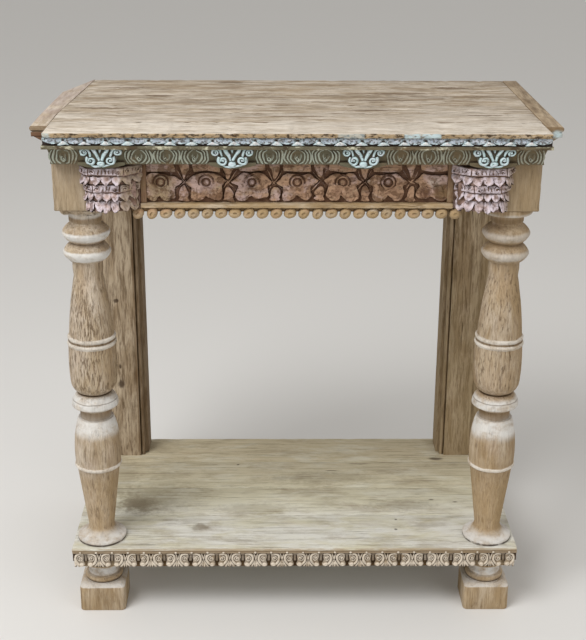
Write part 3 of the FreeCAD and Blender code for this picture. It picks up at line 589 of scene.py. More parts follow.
def greyed(tone, share):
    return tone.lerp(Vector((tone.dot(LUMINANCE),) * 3), share)


class Finish(Graph):
    """A matte old finish, laid on in coats over weathered wood.

    A colour is given by its name, a shade of wood by its number, and a mixture of two by (first, second, share).
    Masks are placed in millimetres; patches are noise with so many waves to the metre along each axis."""

    def __init__(self, name, colours, stretch, offset, shade=1.0, grey=0.0, streaks=0.6, lines=0.45, slits=0.3):
        self.material = bpy.data.materials.new(name)
        self.material.use_nodes = True
        super().__init__(self.material.node_tree)
        self.tree.nodes.clear()
        self.shader = self.add("ShaderNodeBsdfPrincipled", {"Roughness": 0.85, "Specular IOR Level": 0.2})
        self.add("ShaderNodeOutputMaterial", {"Surface": self.shader.outputs[0]})
        self.place = self.add("ShaderNodeTexCoord").outputs["Object"]
        self.axes = self.add("ShaderNodeSeparateXYZ", {0: self.place}).outputs
        self.colours = colours
        pale, tan, dark, fine = (greyed(self.tone(shade + step), grey) for step in (-0.45, 0.2, 1.1, 1.0))
        grain = self.group("Old grain", Stretch=stretch, Offset=offset, Pale=pale, Tan=tan, Dark=dark,
                           Streaks=streaks, Lines=lines)
        self.colour, self.height = grain["Color"], grain["Height"]
        self.stain([1.9 * wave for wave in stretch], (offset[1], 2, offset[0]), 0.36, 0.05, fine, lines * 0.9, 0.5)
        self.coat(self.group("Slits", Stretch=stretch, Offset=offset, Amount=slits)["Mask"], "deep", 0.8, 1.5)

    def tone(self, mixture):
        if isinstance(mixture, Vector):
            return mixture
        if isinstance(mixture, str):
            return Vector(getattr(self.colours, mixture))
        if isinstance(mixture, tuple):
            first, second, share = mixture
            return self.tone(first).lerp(self.tone(second), share)
        shade = min(2.999, max(0, mixture))
        return self.tone((WOODS[int(shade)], WOODS[int(shade) + 1], shade % 1))

    def group(self, name, **inputs):
        node = self.add("ShaderNodeGroup", node_tree=node_group(name))
        if "Vector" in node.inputs:
            inputs["Vector"] = self.place
        for key, value in inputs.items():
            self.feed(node.inputs[key], value)
        return node.outputs

    def coat(self, mask, mixture, strength, sunk=0.0):
        """Lays a colour on where the mask is, and sinks the surface there."""
        self.colour = self.mix(self.both(mask, strength), self.colour, self.tone(mixture))
        if sunk:
            self.height = self.minus(self.height, self.both(mask, sunk))

    def stain(self, stretch, offset, cover, softness, mixture, strength, sunk=0.0, within=None):
        """Lays a colour on in ragged patches, anywhere or within another mask."""
        mask = self.patch(stretch, offset, cover, softness)
        self.coat(mask if within is None else self.both(mask, within), mixture, strength, sunk)

    def patch(self, stretch, offset, cover, softness):
        return self.group("Ragged patch", Stretch=stretch, Offset=offset, Cover=cover, Softness=softness)["Mask"]

    def spot(self, centre, reach, ragged):
        centre, reach = Vector(centre) * MM, Vector(reach) * MM
        return self.group("Spot", Centre=centre, Reach=reach, Ragged=ragged)["Mask"]

    def crevice(self, reach, open_share, shut_share):
        """Where the surface is shut in by itself; a coat laid there is painted shade, with dirt, in the hollows."""
        return self.group("Crevice shade and dirt", Distance=reach * MM, Open=open_share, Shut=shut_share)["Mask"]

    def band(self, low, high, ragged, soft, axis="Z"):
        """A band between two places along an axis."""
        return self.group("Level band", Value=self.axes[axis], Low=low * MM, High=high * MM, Soft=soft * MM,
                          Ragged=ragged * MM)["Mask"]

    def facing(self, axis, low, high):
        """How far the surface faces along an axis, from none at low to all at high."""
        normal = self.add("ShaderNodeNewGeometry").outputs["Normal"]
        return self.ramp(self.add("ShaderNodeSeparateXYZ", {0: normal}).outputs[axis], low, high)

    def relief(self, low, high):
        return self.ramp(self.add("ShaderNodeAttribute", attribute_name="relief").outputs["Fac"], low, high)

    def hollow(self, low, high):
        return self.less(self.relief(low, high))

    def shade_sides_and_joints(self, mixture):
        """Lays a colour on what does not face up: painted shade in the joints between the boards and on their sides,
        with the dark of the worn front edges.
        """
        self.coat(self.less(self.facing("Z", 0.45, 0.95)), mixture, 0.75)

    def done(self, bump, depth):
        node = self.add("ShaderNodeBump", {"Strength": bump, "Distance": depth * MM, "Height": self.height})
        self.feed(self.shader.inputs["Normal"], node.outputs[0])
        self.feed(self.shader.inputs["Base Color"], self.colour)
        return self.material


def repaint(piece, material):
    piece.data.materials.clear()
    piece.data.materials.append(material)


def dress(piece, material, node=None):
    """Gives a piece its finish and its body, and hides the node that it stands for."""
    repaint(piece, material)
    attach(piece, "root")
    if node:
        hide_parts(node)


# Finishes

def top_finish(place, offset, colours, shade, smudges):
    """Bare scrubbed boards, dark in the joints and along the broken front edge."""
    first, second, _ = offset
    finish = Finish("Top wood " + place, colours, ALONG_X, offset, shade - 0.2, 0.2, 0.85, 0.62, 0.4)
    finish.stain((8, 36, 36), (first, 4, 1), 0.36, 0.08, greyed(finish.tone(shade + 1.1), 0.2), 0.5)
    finish.stain((7, 44, 44), (3, first, 7), 0.32, 0.08, "pale", 0.45)
    for x, y, along, across in smudges:
        finish.coat(finish.spot((x, y, TOP_HIGH), (along, across, 9), 1.5), 2.4, 0.7)
    finish.stain((9, 520, 520), (first, 2, 5), 0.34, 0.04, shade + 1, 0.5, 0.6)
    finish.stain((22, 330, 330), (second, 6, 3), 0.3, 0.05, 2.3, 0.55, 1)
    # Painted shade on the sides and in the joints, with the dark of the worn edges
    finish.shade_sides_and_joints(2.3)
    if place == "front":
        front = finish.band(-260, -229.5, 3, 0.8, "Y")
        edge = finish.both(front, finish.band(840, TOP_HIGH, 5, 0.4))
        finish.coat(front, 0.6, 0.8)
        finish.coat(edge, ("honey", "brown", 0.2), 0.75)
        finish.stain((60, 200, 220), (3, 1, 2), 0.42, 0.05, 0.8, 0.8, within=front)
        finish.stain((110, 160, 200), (8, 1, 5), 0.42, 0.06, ("deep", BLACK, 0.2), 0.9, 1.5, edge)
        for low, high, strength in ((160, 216, 0.9), (60, 100, 0.4), (385, 402, 0.9), (-402, -372, 0.6)):
            run = finish.both(front, finish.band(low, high, 10, 2, "X"))
            finish.stain((90, 200, 200), (7, 2, 2), 0.66, 0.08, "aqua", strength, within=run)
    return finish.done(0.7, 0.8)


def left_end_finish(colours):
    """Bare wood with a mauve bloom and dark steps at its front."""
    finish = Finish("Top end wood left", colours, ALONG_Y, (3, 9, 1), 0.75, 0.15)
    # Painted shade on the sides and in the joints, with the dark of the worn edges
    finish.shade_sides_and_joints(1.9)
    above = finish.facing("Z", 0.45, 0.95)
    finish.stain((9, 9, 9), (4, 1, 2), 0.5, 0.12, ("brown", "lilac", 0.35), 0.5, within=above)
    front = finish.band(-260, -173, 2, 2, "Y")
    for low, high, ragged, name, strength in ((830, 850, 1, "rose", 0.8), (850.5, 853, 1.5, "deep", 0.85),
                                              (843, 844.5, 1.5, "deep", 0.85)):
        finish.coat(finish.both(front, finish.band(low, high, ragged, 0.6)), name, strength)
    return finish.done(0.6, 0.7)


def right_end_finish(colours):
    """Browner wood with a chip of paint at its front."""
    finish = Finish("Top end wood right", colours, ALONG_Y, (8, 9, 1), 1.45, 0.15)
    # Painted shade on the sides and in the joints, with the dark of the worn edges
    finish.shade_sides_and_joints(1.9)
    finish.coat(finish.spot((403, -172, 848), (12, 10, 9), 0.8), "aqua", 0.9)
    return finish.done(0.6, 0.7)


def frieze_finish(colours):
    """Dusty pink on carved brown, dark in the grooves."""
    finish = Finish("Frieze wood", colours, ALONG_X, (3, 1, 7), 1.3, 0, 0.6, 0.4)
    finish.stain((45, 45, 60), (2, 5, 1), 0.72, 0.12, "pink", 0.85)
    finish.stain((17, 17, 26), (9, 4, 6), 0.38, 0.08, "rose", 0.5)
    finish.stain((24, 24, 40), (5, 8, 2), 0.42, 0.08, ("pink", "lilac", 0.5), 0.65)
    for x, z, across, up, mixture in ((-214, 762, 26, 34, 1.2), (-221, 774, 9, 12, ("rose", "brown", 0.5)),
                                      (214, 772, 11, 10, ("pink", "white", 0.4)),
                                      (200, 757, 12, 12, ("rose", "deep", 0.3)), (226, 758, 17, 17, 2)):
        finish.coat(finish.spot((x, FRIEZE_FRONT - 3, z), (across, 20, up), 1.4), mixture, 0.85)
    finish.stain((75, 75, 90), (6, 2, 9), 0.4, 0.04, ("rose", "brown", 0.4), 0.7, 1)
    finish.stain((80, 80, 80), (1, 9, 5), 0.82, 0.12, ("rose", "deep", 0.3), 0.92, within=finish.hollow(0.3, 0.85))
    # Painted shade, with dirt, in the grooves of the carving
    finish.coat(finish.crevice(4.5, 0.78, 0.35), "deep", 0.85)
    finish.stain((230, 230, 230), (1, 1, 4), 0.32, 0.05, "rose", 0.6, 0.8)
    return finish.done(0.8, 1.0)


def boss_finish(side, colours, bare_from, bare_share):
    """Lilac on the rims, brown in the hollows, bare towards one side."""
    finish = Finish("Boss paint " + side, colours, ALONG_Z, (6, 2, 4), 1.4)
    finish.stain((70, 70, 90), (4, 4, 1), 0.66, 0.14, ("pink", "lilac", 0.5), 0.75)
    # Dark hollows and pale rims and tips: worn lilac paint over brown, with painted shade under the plaques and
    # painted highlight on the lit petal tips
    finish.coat(finish.hollow(0.1, 0.5), ("rose", "deep", 0.45), 0.8)
    rims = finish.relief(0.22, 0.55)
    finish.stain((130, 130, 130), (1, 7, 3), 0.76, 0.08, ("lilac", "white", 0.2), 0.92, within=rims)
    finish.stain((60, 60, 70), (3, 9, 2), 0.42, 0.1, ("pink", "lilac", 0.3), 0.6)
    finish.stain((110, 110, 140), (8, 3, 6), 0.43, 0.07, ("rose", "deep", 0.4), 0.65, 0.5)
    bare = finish.both(finish.band(bare_from, bare_from + 90, 14, 5, "X"), finish.relief(0.1, 0.5))
    finish.coat(bare, 1.3, bare_share)
    # Painted shade, with dirt, in the hollows of the boss
    finish.coat(finish.crevice(8, 0.78, 0.38), ("rose", "deep", 0.85), 0.95)
    return finish.done(0.6, 0.7)


def cornice_finish(colours):
    """Olive paint, chalky on the ribs, worn to the wood and dark in the hollows."""
    finish = Finish("Cornice paint", colours, ALONG_X, (1, 8, 3), 1.9)
    ribs, fillet = finish.relief(0.5, 0.95), finish.band(834.6, 842, 0.4, 0.3)
    chalk = ("olive", ("cream", "mint", 0.4), 0.72)
    finish.stain((40, 60, 60), (7, 1, 2), 0.85, 0.12, ("olive", "deep", 0.12), 0.9)
    finish.stain((90, 90, 90), (2, 1, 2), 0.74, 0.14, chalk, 0.92, within=ribs)
    finish.stain((20, 26, 26), (3, 3, 1), 0.36, 0.1, 1.9, 0.5)
    finish.stain((26, 40, 40), (6, 2, 5), 0.3, 0.1, ("mint", "cream", 0.5), 0.6, within=ribs)
    finish.coat(finish.band(120, 400, 60, 60, "X"), 2.2, 0.3)
    finish.stain((60, 90, 90), (4, 1, 7), 0.42, 0.08, "deep", 0.7, within=fillet)
    finish.stain((50, 90, 90), (8, 6, 1), 0.36, 0.06, "cream", 0.75, within=fillet)
    # Painted shade, with dirt, in the hollows of the cove
    finish.coat(finish.crevice(5, 0.88, 0.45), ("olive", "deep", 0.9), 0.95)
    return finish.done(0.6, 0.7)


def paint_finish(name, colours, offset, paint, light, hollow, covered, specked):
    """Broken bright paint on raised carving, with dark hollows."""
    finish = Finish(name, colours, ALONG_X, offset, 2)
    finish.stain((110, 110, 110), offset, covered, 0.12, paint, 0.95)
    finish.stain((70, 90, 120), (9, 1, 4), 0.62, 0.12, light, 0.95, within=finish.relief(0.6, 0.95))
    finish.stain((190, 190, 240), (offset[1], 4, 6), 0.4, 0.06, (light, "lilac", 0.5), 0.8)
    finish.stain((230, 230, 300), (3, 8, offset[0]), specked, 0.05, ("olive", "deep", 0.7), 0.8, 0.8)
    # Dark hollows: the dark carved ground, deepened as painted shade in the gaps between the forms and in the holes
    finish.coat(finish.hollow(0.15, 0.5), hollow, 0.95)
    # Painted shade, with dirt, in the hollows
    finish.coat(finish.crevice(5, 0.85, 0.4), (hollow, "deep", 0.5), 0.95)
    return finish.done(0.5, 0.6)


# White left on the turnings: low, high, strength and softness
RING_WASH = ((491.5, 499, 0.95, 0.8), (502.5, 509.5, 0.95, 0.8), (268.5, 276, 0.95, 0.6))
LEFT_WASH = ((124, 146, 0.82, 8), (334, 366, 0.85, 9), (382, 404, 0.9, 4), *RING_WASH, (641, 657, 0.9, 1.6),
             (674, 688, 0.9, 1.6), (711, 719, 0.6, 2))
RIGHT_WASH = ((124, 144, 0.85, 8), (330, 364, 0.85, 10), (382, 400, 0.85, 4), *RING_WASH, (644, 657, 0.45, 3),
              (676, 689, 0.4, 3), (716, 722, 0.4, 2))


def leg_finish(side, colours, offset, shade, gold, pitted, washes):
    """Turned wood with brushed white left on its rings and rims."""
    first, second, _ = offset
    finish = Finish("Leg wood " + side, colours, ALONG_Z, offset, shade, 0, 0.65, 0.5)
    finish.stain((22, 22, 9), (4, first, 2), 0.45, 0.16, ("tan", "lilac", 0.35), 0.35)
    finish.stain((16, 16, 7), (first, 5, 5), 0.3 + gold / 2, 0.2, "honey", gold)
    finish.coat(finish.band(120, 262, 12, 20), "honey", 0.4)
    # Painted reflected light and shade: the faces turned towards +X take a darker golden tone
    finish.coat(finish.facing("X", 0.3, 0.95), ("honey", "brown", 0.3), 0.5)
    finish.stain((560, 560, 34), (second, 3, 1), 0.5, 0.14, shade + 0.9, 0.28, 0.4)
    taper = finish.plus(0.3, finish.both(finish.band(400, 640, 20, 60), 0.7))
    gathered = finish.both(finish.patch((20, 20, 10), (8, first, 4), 0.68, 0.12), taper)
    finish.stain((430, 430, 60), offset, pitted, 0.05, 2.5, 0.75, 0.9, gathered)
    finish.stain((220, 220, 18), (second, 1, 4), pitted - 0.1, 0.04, 2.4, 0.5, 0.9)
    brush = finish.patch((36, 36, 60), (5, 2, first), 0.68, 0.2)
    for low, high, strength, soft in washes:
        wash = ("white", "pale", 0.7 if soft <= 1 else 0.15)
        finish.coat(finish.both(finish.band(low, high, 5, soft), brush), wash, strength)
    foot = finish.band(126, 132.6, 3, 0.8)
    finish.stain((50, 50, 70), (second, 6, 2), 0.62, 0.1, "deep", 0.85, within=foot)
    # Darker bands: the first is painted shade in the hollow waist under the cup; the others are dark lines in the
    # grooves and just below the disc
    for low, high, ragged, soft, dark in ((360.5, 376, 2, 1, 2), (393.5, 395, 3, 0.8, 2.5), (499, 503, 3, 0.8, 2.5),
                                          (704, 712, 5, 3, 2)):
        finish.coat(finish.band(low, high, ragged, soft), dark, 0.6)
    head = (greyed(finish.tone(shade + 0.55), 0.15), ("honey", "olive", 0.35), gold)
    finish.coat(finish.band(HEAD_LOW - 1, 815, 2, 1), head, 0.6)
    # Painted shade, with dirt, in the grooves of the turning
    finish.coat(finish.crevice(16, 0.8, 0.3), 2.2, 0.8)
    return finish.done(0.7, 0.9)


# Marks on the shelf: x, y, reach along and across, and for the stains a strength
SHELF_STAINS = ((-285, -41, 26, 22, 0.45), (-285, -41, 44, 38, 0.4), (-270, -30, 70, 56, 0.25),
                (-250, -10, 110, 70, 0.2), (-168, -126, 22, 14, 0.55), (196, -47, 70, 22, 0.35),
                (-70, -60, 80, 26, 0.3), (64, 60, 120, 30, 0.3), (-330, 60, 40, 90, 0.3))
SHELF_HOLES = ((75, 91, 14, 2), (129, 119, 30, 2), (-107, 117, 3, 3), (183, -99, 3, 3), (180, -134, 3.4, 3.4),
               (255, -26, 6, 2.4), (298, -35, 6, 2.4), (283, 141, 18, 7))


def shelf_finish(place, offset, colours):
    """A thin cream wash with the grain and old stains showing through."""
    first, second, _ = offset
    dull = ("brown", "olive", 0.5)
    finish = Finish("Shelf wash " + place, colours, ALONG_X, offset, 1, 0.05, 0.45, 0.4, 0.28)
    finish.stain((9, 40, 40), offset, 0.86, 0.18, "cream", 0.8)
    ahead = finish.less(finish.band(-60, 400, 40, 60, "Y"))
    finish.stain((9, 24, 24), (2, first, 7), 0.6, 0.14, "white", 0.65, within=ahead)
    finish.coat(finish.band(60, 400, 40, 130, "Y"), ("honey", "cream", 0.15), 0.42)
    finish.stain((12, 26, 26), (7, first, 3), 0.36, 0.12, ("tan", "olive", 0.5), 0.5)
    finish.stain((12, 30, 30), (1, first, 9), 0.36, 0.12, ("cream", "white", 0.4), 0.5)
    finish.stain((12, 330, 330), (second, 1, 6), 0.34, 0.05, dull, 0.45)
    for x, y, along, across, strength in SHELF_STAINS:
        finish.coat(finish.spot((x, y, SHELF_TOP), (along, across, 30), 1.5), dull, strength)
    for x, y, along, across in SHELF_HOLES:
        finish.coat(finish.spot((x, y, SHELF_TOP), (along, across, 30), 0.5), "deep", 0.75)
    finish.stain((7, 460, 460), (first, 8, 3), 0.33, 0.04, dull, 0.4, 0.5)
    if place == "front":
        front = finish.band(-260, -199.5, 0.8, 0.5, "Y")
        finish.stain((24, 90, 90), (4, 4, 2), 0.62, 0.12, 1.2, 0.75, within=front)
        finish.coat(finish.spot((-262, -186.5, SHELF_TOP), (34, 1.5, 9), 0.5), "deep", 0.75)
        finish.coat(finish.both(finish.band(110, 125.5, 0.6, 0.5), front), 1.7, 0.85)
    return finish.done(0.55, 0.8)


def rail_finish(colours):
    finish = Finish("Frieze rail wood", colours, ALONG_X, (2, 6, 4), 0.95, 0, 0.7, 0.5)
    finish.stain((20, 60, 60), (3, 3, 1), 0.6, 0.16, "honey", 0.7)
    finish.stain((40, 90, 90), (5, 3, 1), 0.3, 0.08, "brown", 0.6)
    return finish.done(0.6, 0.8)


def stile_finish(colours):
    finish = Finish("Frieze stile wood", colours, ALONG_Z, (8, 3, 4), 1.8)
    finish.stain((40, 40, 20), (3, 3, 1), 0.6, 0.16, "rose", 0.7)
    return finish.done(0.5, 0.6)


def pearl_finish(colours):
    finish = Finish("Pearl wood", colours, ALONG_X, (4, 4, 8))
    finish.stain((30, 40, 60), (1, 5, 2), 0.64, 0.16, "honey", 0.75)
    finish.stain((30, 40, 60), (7, 5, 2), 0.3, 0.1, "pink", 0.5)
    # Darker flanks and gaps between the pearls: painted shade, with the brown of the nicks
    finish.coat(finish.hollow(0.2, 0.6), 2, 0.8)
    # Painted shade, with dirt, between the pearls
    finish.coat(finish.crevice(7, 0.8, 0.35), 2.6, 0.85)
    return finish.done(0.6, 0.7)


# Knots in the left post: x, z, reach across and up
POST_KNOTS = ((-333, 283, 7, 10), (-334, 320, 3, 6), (-336, 455, 6, 5), (-347, 396, 4, 8))


def post_finish(side, colours):
    """Dry open grain; the left post knotted, the right one greener."""
    left = side == "left"
    finish = Finish("Post wood " + side, colours, ALONG_Z, (1 if left else 7, 3, 5), 1.3, 0.1 if left else 0,
                    1, 0.75, 0.45)
    if left:
        for x, z, across, up in POST_KNOTS:
            finish.coat(finish.spot((x, 157, z), (across, 30, up), 0.9), "deep", 0.8, 1)
        # A paler strip on the outer moulding: painted highlight where it catches the light
        finish.coat(finish.band(-384, -372, 3, 2, "X"), 0.7, 0.7)
        # Darker inner side of the left post: painted shade
        finish.coat(finish.band(-304, -280, 1, 1, "X"), 2.3, 0.6)
    else:
        finish.stain((12, 12, 4), (2, 2, 2), 0.6, 0.2, ("honey", "olive", 0.45), 0.7)
    # Painted shade, with dirt, in the groove of the moulding
    finish.coat(finish.crevice(14, 0.85, 0.4), 2.4, 0.5)
    return finish.done(0.7, 0.9)


def edging_finish(colours):
    """Pale scrolls over a ground painted dark as shade, with a darker strip under the lip."""
    finish = Finish("Edging wood", colours, ALONG_X, (6, 3, 5), 0.6, 0, 0.5, 0.4)
    finish.stain((80, 80, 80), (1, 2, 3), 0.72, 0.1, "pale", 0.9, within=finish.relief(0.7, 1))
    # The ground behind the scrolls is painted dark as shade
    finish.coat(finish.hollow(0.3, 0.6), 2.9, 0.95)
    # The strip under the shelf lip is darkened as painted shade
    finish.coat(finish.both(finish.band(117.6, 126, 0.5, 0.5), finish.hollow(0.7, 0.9)), 1.6, 0.75)
    # Painted shade, with dirt, in the hollows of the carving
    finish.coat(finish.crevice(5, 0.8, 0.35), ("deep", BLACK, 0.3), 0.95)
    return finish.done(0.6, 0.7)


def foot_finish(side, seed, colours):
    """Weathered wood with brushed white left on the ring and in the cove."""
    finish = Finish("Foot wood " + side, colours, ALONG_Z, (seed * 4, 8, 2), 1.15, 0.05, 0.6, 0.55, 0.26)
    finish.stain((20, 20, 12), (seed, 7, 2), 0.6, 0.2, "honey", 0.5)
    finish.stain((90, 90, 45), (seed, 3, 2), 0.2, 0.05, 2.2, 0.6)
    brush = finish.patch((40, 40, 60), (1, seed, 5), 0.62, 0.2)
    for low, high, ragged, soft, strength in ((45.5, 53, 2, 1, 0.6), (62, 78, 3, 3, 0.85)):
        finish.coat(finish.both(finish.band(low, high, ragged, soft), brush), "white", strength)
    # Painted shade, with dirt, in the grooves of the turning
    finish.coat(finish.crevice(14, 0.8, 0.3), 2.3, 0.75)
    return finish.done(0.6, 0.8)


# Pieces

class PierOperator:
    bl_options = {"REGISTER", "UNDO"}

    def execute(self, context):
        self.make(context.scene.pier_sizes, context.scene.pier_colours)
        return {"FINISHED"}


# Each board of the top: its shade of wood and its smudges by x, y, reach along and across
TOP_BOARDS = {
    "front": (0.12, ((-374, -118, 30, 9),)),
    "second": (0.8, ((6, -100, 60, 5), (300, -90, 46, 6))),
    "third": (0.9, ((-312, -36, 46, 9), (120, -50, 60, 6))),
    "fourth": (1.05, ((-234, 76, 30, 13), (150, 40, 70, 8))),
    "back": (1.0, ((187, 100, 75, 10), (278, 156, 46, 12), (-117, 205, 40, 8), (-300, 150, 60, 9))),
}


class PIER_OT_top(PierOperator, bpy.types.Operator):
    """Model the boards and the moulded ends of the top"""
    bl_idname = "pier.top"
    bl_label = "Top"

    def make(self, sizes, colours):
        wear = sizes.board_wear
        for index, (place, (shade, smudges)) in enumerate(TOP_BOARDS.items()):
            node = "top_board_" + place
            pitch, depth = (4, wear * 1.6) if place == "front" else (9, wear)
            board = worn(node_copy(node, "worn_" + node), 0, pitch, wear, depth, 11, index)
            dress(board, top_finish(place, (index * 5.3, index * 2.1, 4), colours, shade, smudges), node)
        for node, finish in (("top_end_left", left_end_finish), ("top_end_right", right_end_finish)):
            dress(smooth(soften(node_copy(node, "worn_" + node), wear)), finish(colours), node)


class PIER_OT_petal_moulding(PierOperator, bpy.types.Operator):
    """Carve the row of petals under the lip of the top"""
    bl_idname = "pier.petal_moulding"
    bl_label = "Petal moulding"

    def make(self, sizes, colours):
        low, high = node_box("petal_moulding")
        pitch = (high.x - low.x) / sizes.petals
        strip = level_relief(box((low.x, low.y + 6, low.z), high), 0)
        petal = leaf(pitch * 1.02, high.z - low.z - 3.4, 2.6, 1.2, 0.45, 0.5, 3, 8, rim=0.55)
        dome = moved(leaf(pitch * 0.6, 6.6, 2.8, 0.8, 0, 0.1, 3, sharp=0.85), Matrix.Rotation(math.pi, 4, "Y"))
        hole = level_relief(knob(0, 0, 5, 3.2, 1.6), 0)
        pieces, domes = [], []
        for index in range(sizes.petals):
            x = low.x + (index + 0.5) * pitch
            pieces.append(copied(petal, shift(x, low.y + 5.2, high.z)))
            if index:
                domes.append(copied(dome, shift(x - pitch / 2, low.y + 4, low.z + 1.8)))
                pieces.append(copied(hole, shift(x - pitch / 2, low.y + 1.6, low.z + 9.2)))
        drop(petal, dome, hole)
        petals = sway(joined(pieces, "petals"), 1, 9, 2)
        moulding = chip(joined([strip, petals], "carved_petal_moulding"), 0.9 * MM, 5, 2)
        paint = paint_finish("Petal paint", colours, (2, 3, 8), "duck_egg", "aqua", ("deep", BLACK, 0.3), 0.78, 0.45)
        dress(moulding, paint, "petal_moulding")
        tips = chip(sway(joined(domes, "petal_domes"), 1, 9, 2), 0.5 * MM, 6, 3)
        paint = paint_finish("Dome paint", colours, (5, 1, 2), "aqua", "white", "deep", 0.8, 0.32)
        dress(tips, paint)


# Where the oval targets and the scroll bosses stand along the cornice
TARGETS = (-356, -241.5, -199, -156.5, -42.5, 0, 42.5, 156.5, 199, 241.5, 356)
SCROLL_BOSSES = (-298.5, -99.5, 99.5, 298.5)
SCROLL_FRONT, SCROLL_HIGH = -223.4, 836


def cove_front(z):
    """How far forward the cornice cove stands at a height."""
    rise = (z - HEAD_HIGH) / COVE_HEIGHT
    return -215 - 8 * rise + 4 * 2 * rise * (1 - rise)


class PIER_OT_cornice(PierOperator, bpy.types.Operator):
    """Carve the cove of the cornice and its four scroll bosses"""
    bl_idname = "pier.cornice"
    bl_label = "Cornice"

    def make(self, sizes, colours):
        body = level_relief(soften(node_copy("cornice", "carved_cornice"), 0.5 * MM), 0.3)
        pieces = []
        for x in TARGETS:
            pieces += self.target(x, sizes.rib / MM)
        targets = sway(joined(pieces, "targets"), 2.4, 11, 6)
        cornice = chip(joined([body, targets], "carved_cornice"), 0.5 * MM, 5, 11)
        dress(smooth(cornice), cornice_finish(colours), "cornice")
        motif = self.scrolls(sizes.scroll_rib / MM)
        squat = Matrix.Diagonal((1, 1, 0.94, 1))
        bosses = [copied(motif, squat, shift(x, SCROLL_FRONT, SCROLL_HIGH)) for x in SCROLL_BOSSES]
        drop(motif)
        scrolls = chip(sway(joined(bosses, "cornice_scrolls"), 1.4, 10, 9), 0.6 * MM, 6, 5)
        paint = paint_finish("Scroll paint", colours, (1, 6, 3), "mint", "aqua", ("olive", "deep", 0.6), 0.95, 0.3)
        dress(smooth(scrolls, 60), paint)

    def target(self, x, width):
        """Nested oval ribs about a small leaf, lying on the cove."""
        widths = [width * (0.7 + 0.4 * math.sin(math.pi * step / 8)) for step in range(9)]
        ribs = []
        for across, up in ((20, 21), (15.4, 16.4), (10.8, 12)):
            sweep = math.asin(min(0.97, 11.6 / up))
            for side in (-1, 1):
                points = []
                for step in range(9):
                    angle = sweep * (step / 4 - 1)
                    z = COVE_MIDDLE + up * math.sin(angle)
                    points.append((x + side * across * math.cos(angle), cove_front(z) + 0.4, z))
                ribs.append(rib(points, widths, sides=1, steps=2))
        centre = moved(leaf(12, 19, 2.6, 0, 0.2, 0.5, rim=0.4), shift(x, cove_front(COVE_MIDDLE), 832))
        curl = moved(rib(volute(0, 0, 3.6, 1.1, 90), 2.4, 1.4), shift(x, cove_front(818) - 2.2, 818))
        return [*ribs, centre, curl]

    def scrolls(self, width):
        """Upper and lower volutes about a flaring stem, on a plate of their own."""
        outline = rounded([(0, 0), (30, 0), (33, -6), (27, -13), (24, -22), (14, -29), (0, -32)])
        pieces = [
            level_relief(moved(slab(mirrored(outline), 6, 0.8), shift(0, 6, 0)), 0),
            leaf(5, 8, 2.6, 0.5, 0.1, 0.3, sharp=0.7),
            knob(0, -26, 13, 11, 5.4),
        ]
        for piece in (
            rib(volute(25, -6.6, 6.8, 1.2, 120, -1, 0.34), width * 0.9, 1.5),
            rib(volute(14.6, -20, 8, 1.2, 50, -1, 0.36), width, 1.5),
            rib([(32, -1.4), (23, 0), (16.5, -4), (15.5, -13)], (2, width, width, width * 0.8), 1.4),
            rib([(11, -0.5), (9, -6), (4.6, -12), (1.6, -20)], [width * w for w in (1.5, 1.4, 1.1, 1)], 1.4),
            rib([(1, -30), (7, -29.6), (14, -28.4), (20, -23)], (width * 0.8, width * 0.9, width * 0.7, 1.6), 1.3),
            knob(25, -6.6, 5, 5, 4.4),
            knob(14.6, -20, 5.4, 5.4, 4.4),
        ):
            pieces += pair(piece)
        return joined(pieces, "scroll_motif")


# Profiles of the turnings: radius, height and swell of each length
LEG_TURNING = (
    (42, 0, 0), (42, 7, 0), (22, 26, -4.8), (36, 139.5, 0), (38, 147.5, 3), (38, 190, 0.9), (30, 231, 1.6),
    (26, 231, 0), (26, 246, 0), (39, 254, 0), (39, 257, 0), (28, 277, 2.6), (23.5, 277, 0), (38.8, 299, 4),
    (38.8, 363.5, 1), (38.8, 369.5, 2), (38.8, 374.5, 0), (36.9, 380.5, 2), (23.5, 483, 1.8), (24.7, 495, 0),
    (24.7, 507, 0), (38.5, 521.8, 1.8), (38.5, 524.8, 0), (24.7, 539.3, 1.6), (38.5, 554.1, 1.8), (38.5, 557.1, 0),
    (24.7, 571.6, 1.6), (24.7, 575, 0), (26.5, 575, 0), (26.5, 588, 0), (36, 588, 0), (40, 592, 1.1), (40, 600, 0),
)
FOOT_TURNING = (
    (33, 49, 0), (33, 51, 0), (27.5, 51, 0), (27.5, 62, 5.5), (27, 62, 0), (27, 65, 0), (30, 81, -5), (38, 84.5, 0),
    (38, 87, 0),
)


def arc_points(start, end, swell, pieces):
    """Points of an arc between two (radius, height) points, without the start."""
    if not swell:
        return [end]
    chord = Vector((end[0] - start[0], end[1] - start[1]))
    across = Vector((chord.y, -chord.x)).normalized()
    half = chord.length / 2
    radius = (half ** 2 + swell ** 2) / (2 * abs(swell))
    spread = math.asin(min(1, half / radius))
    if abs(swell) > half:
        spread = math.pi - spread
    centre = Vector(start) + chord / 2 + across * (swell - math.copysign(radius, swell))
    points = []
    for index in range(1, pieces + 1):
        angle = spread * (2 * index / pieces - 1)
        out, along = math.copysign(math.cos(angle) * radius, swell), math.sin(angle) * radius
        points.append(tuple(centre + across * out + chord.normalized() * along))
    return points


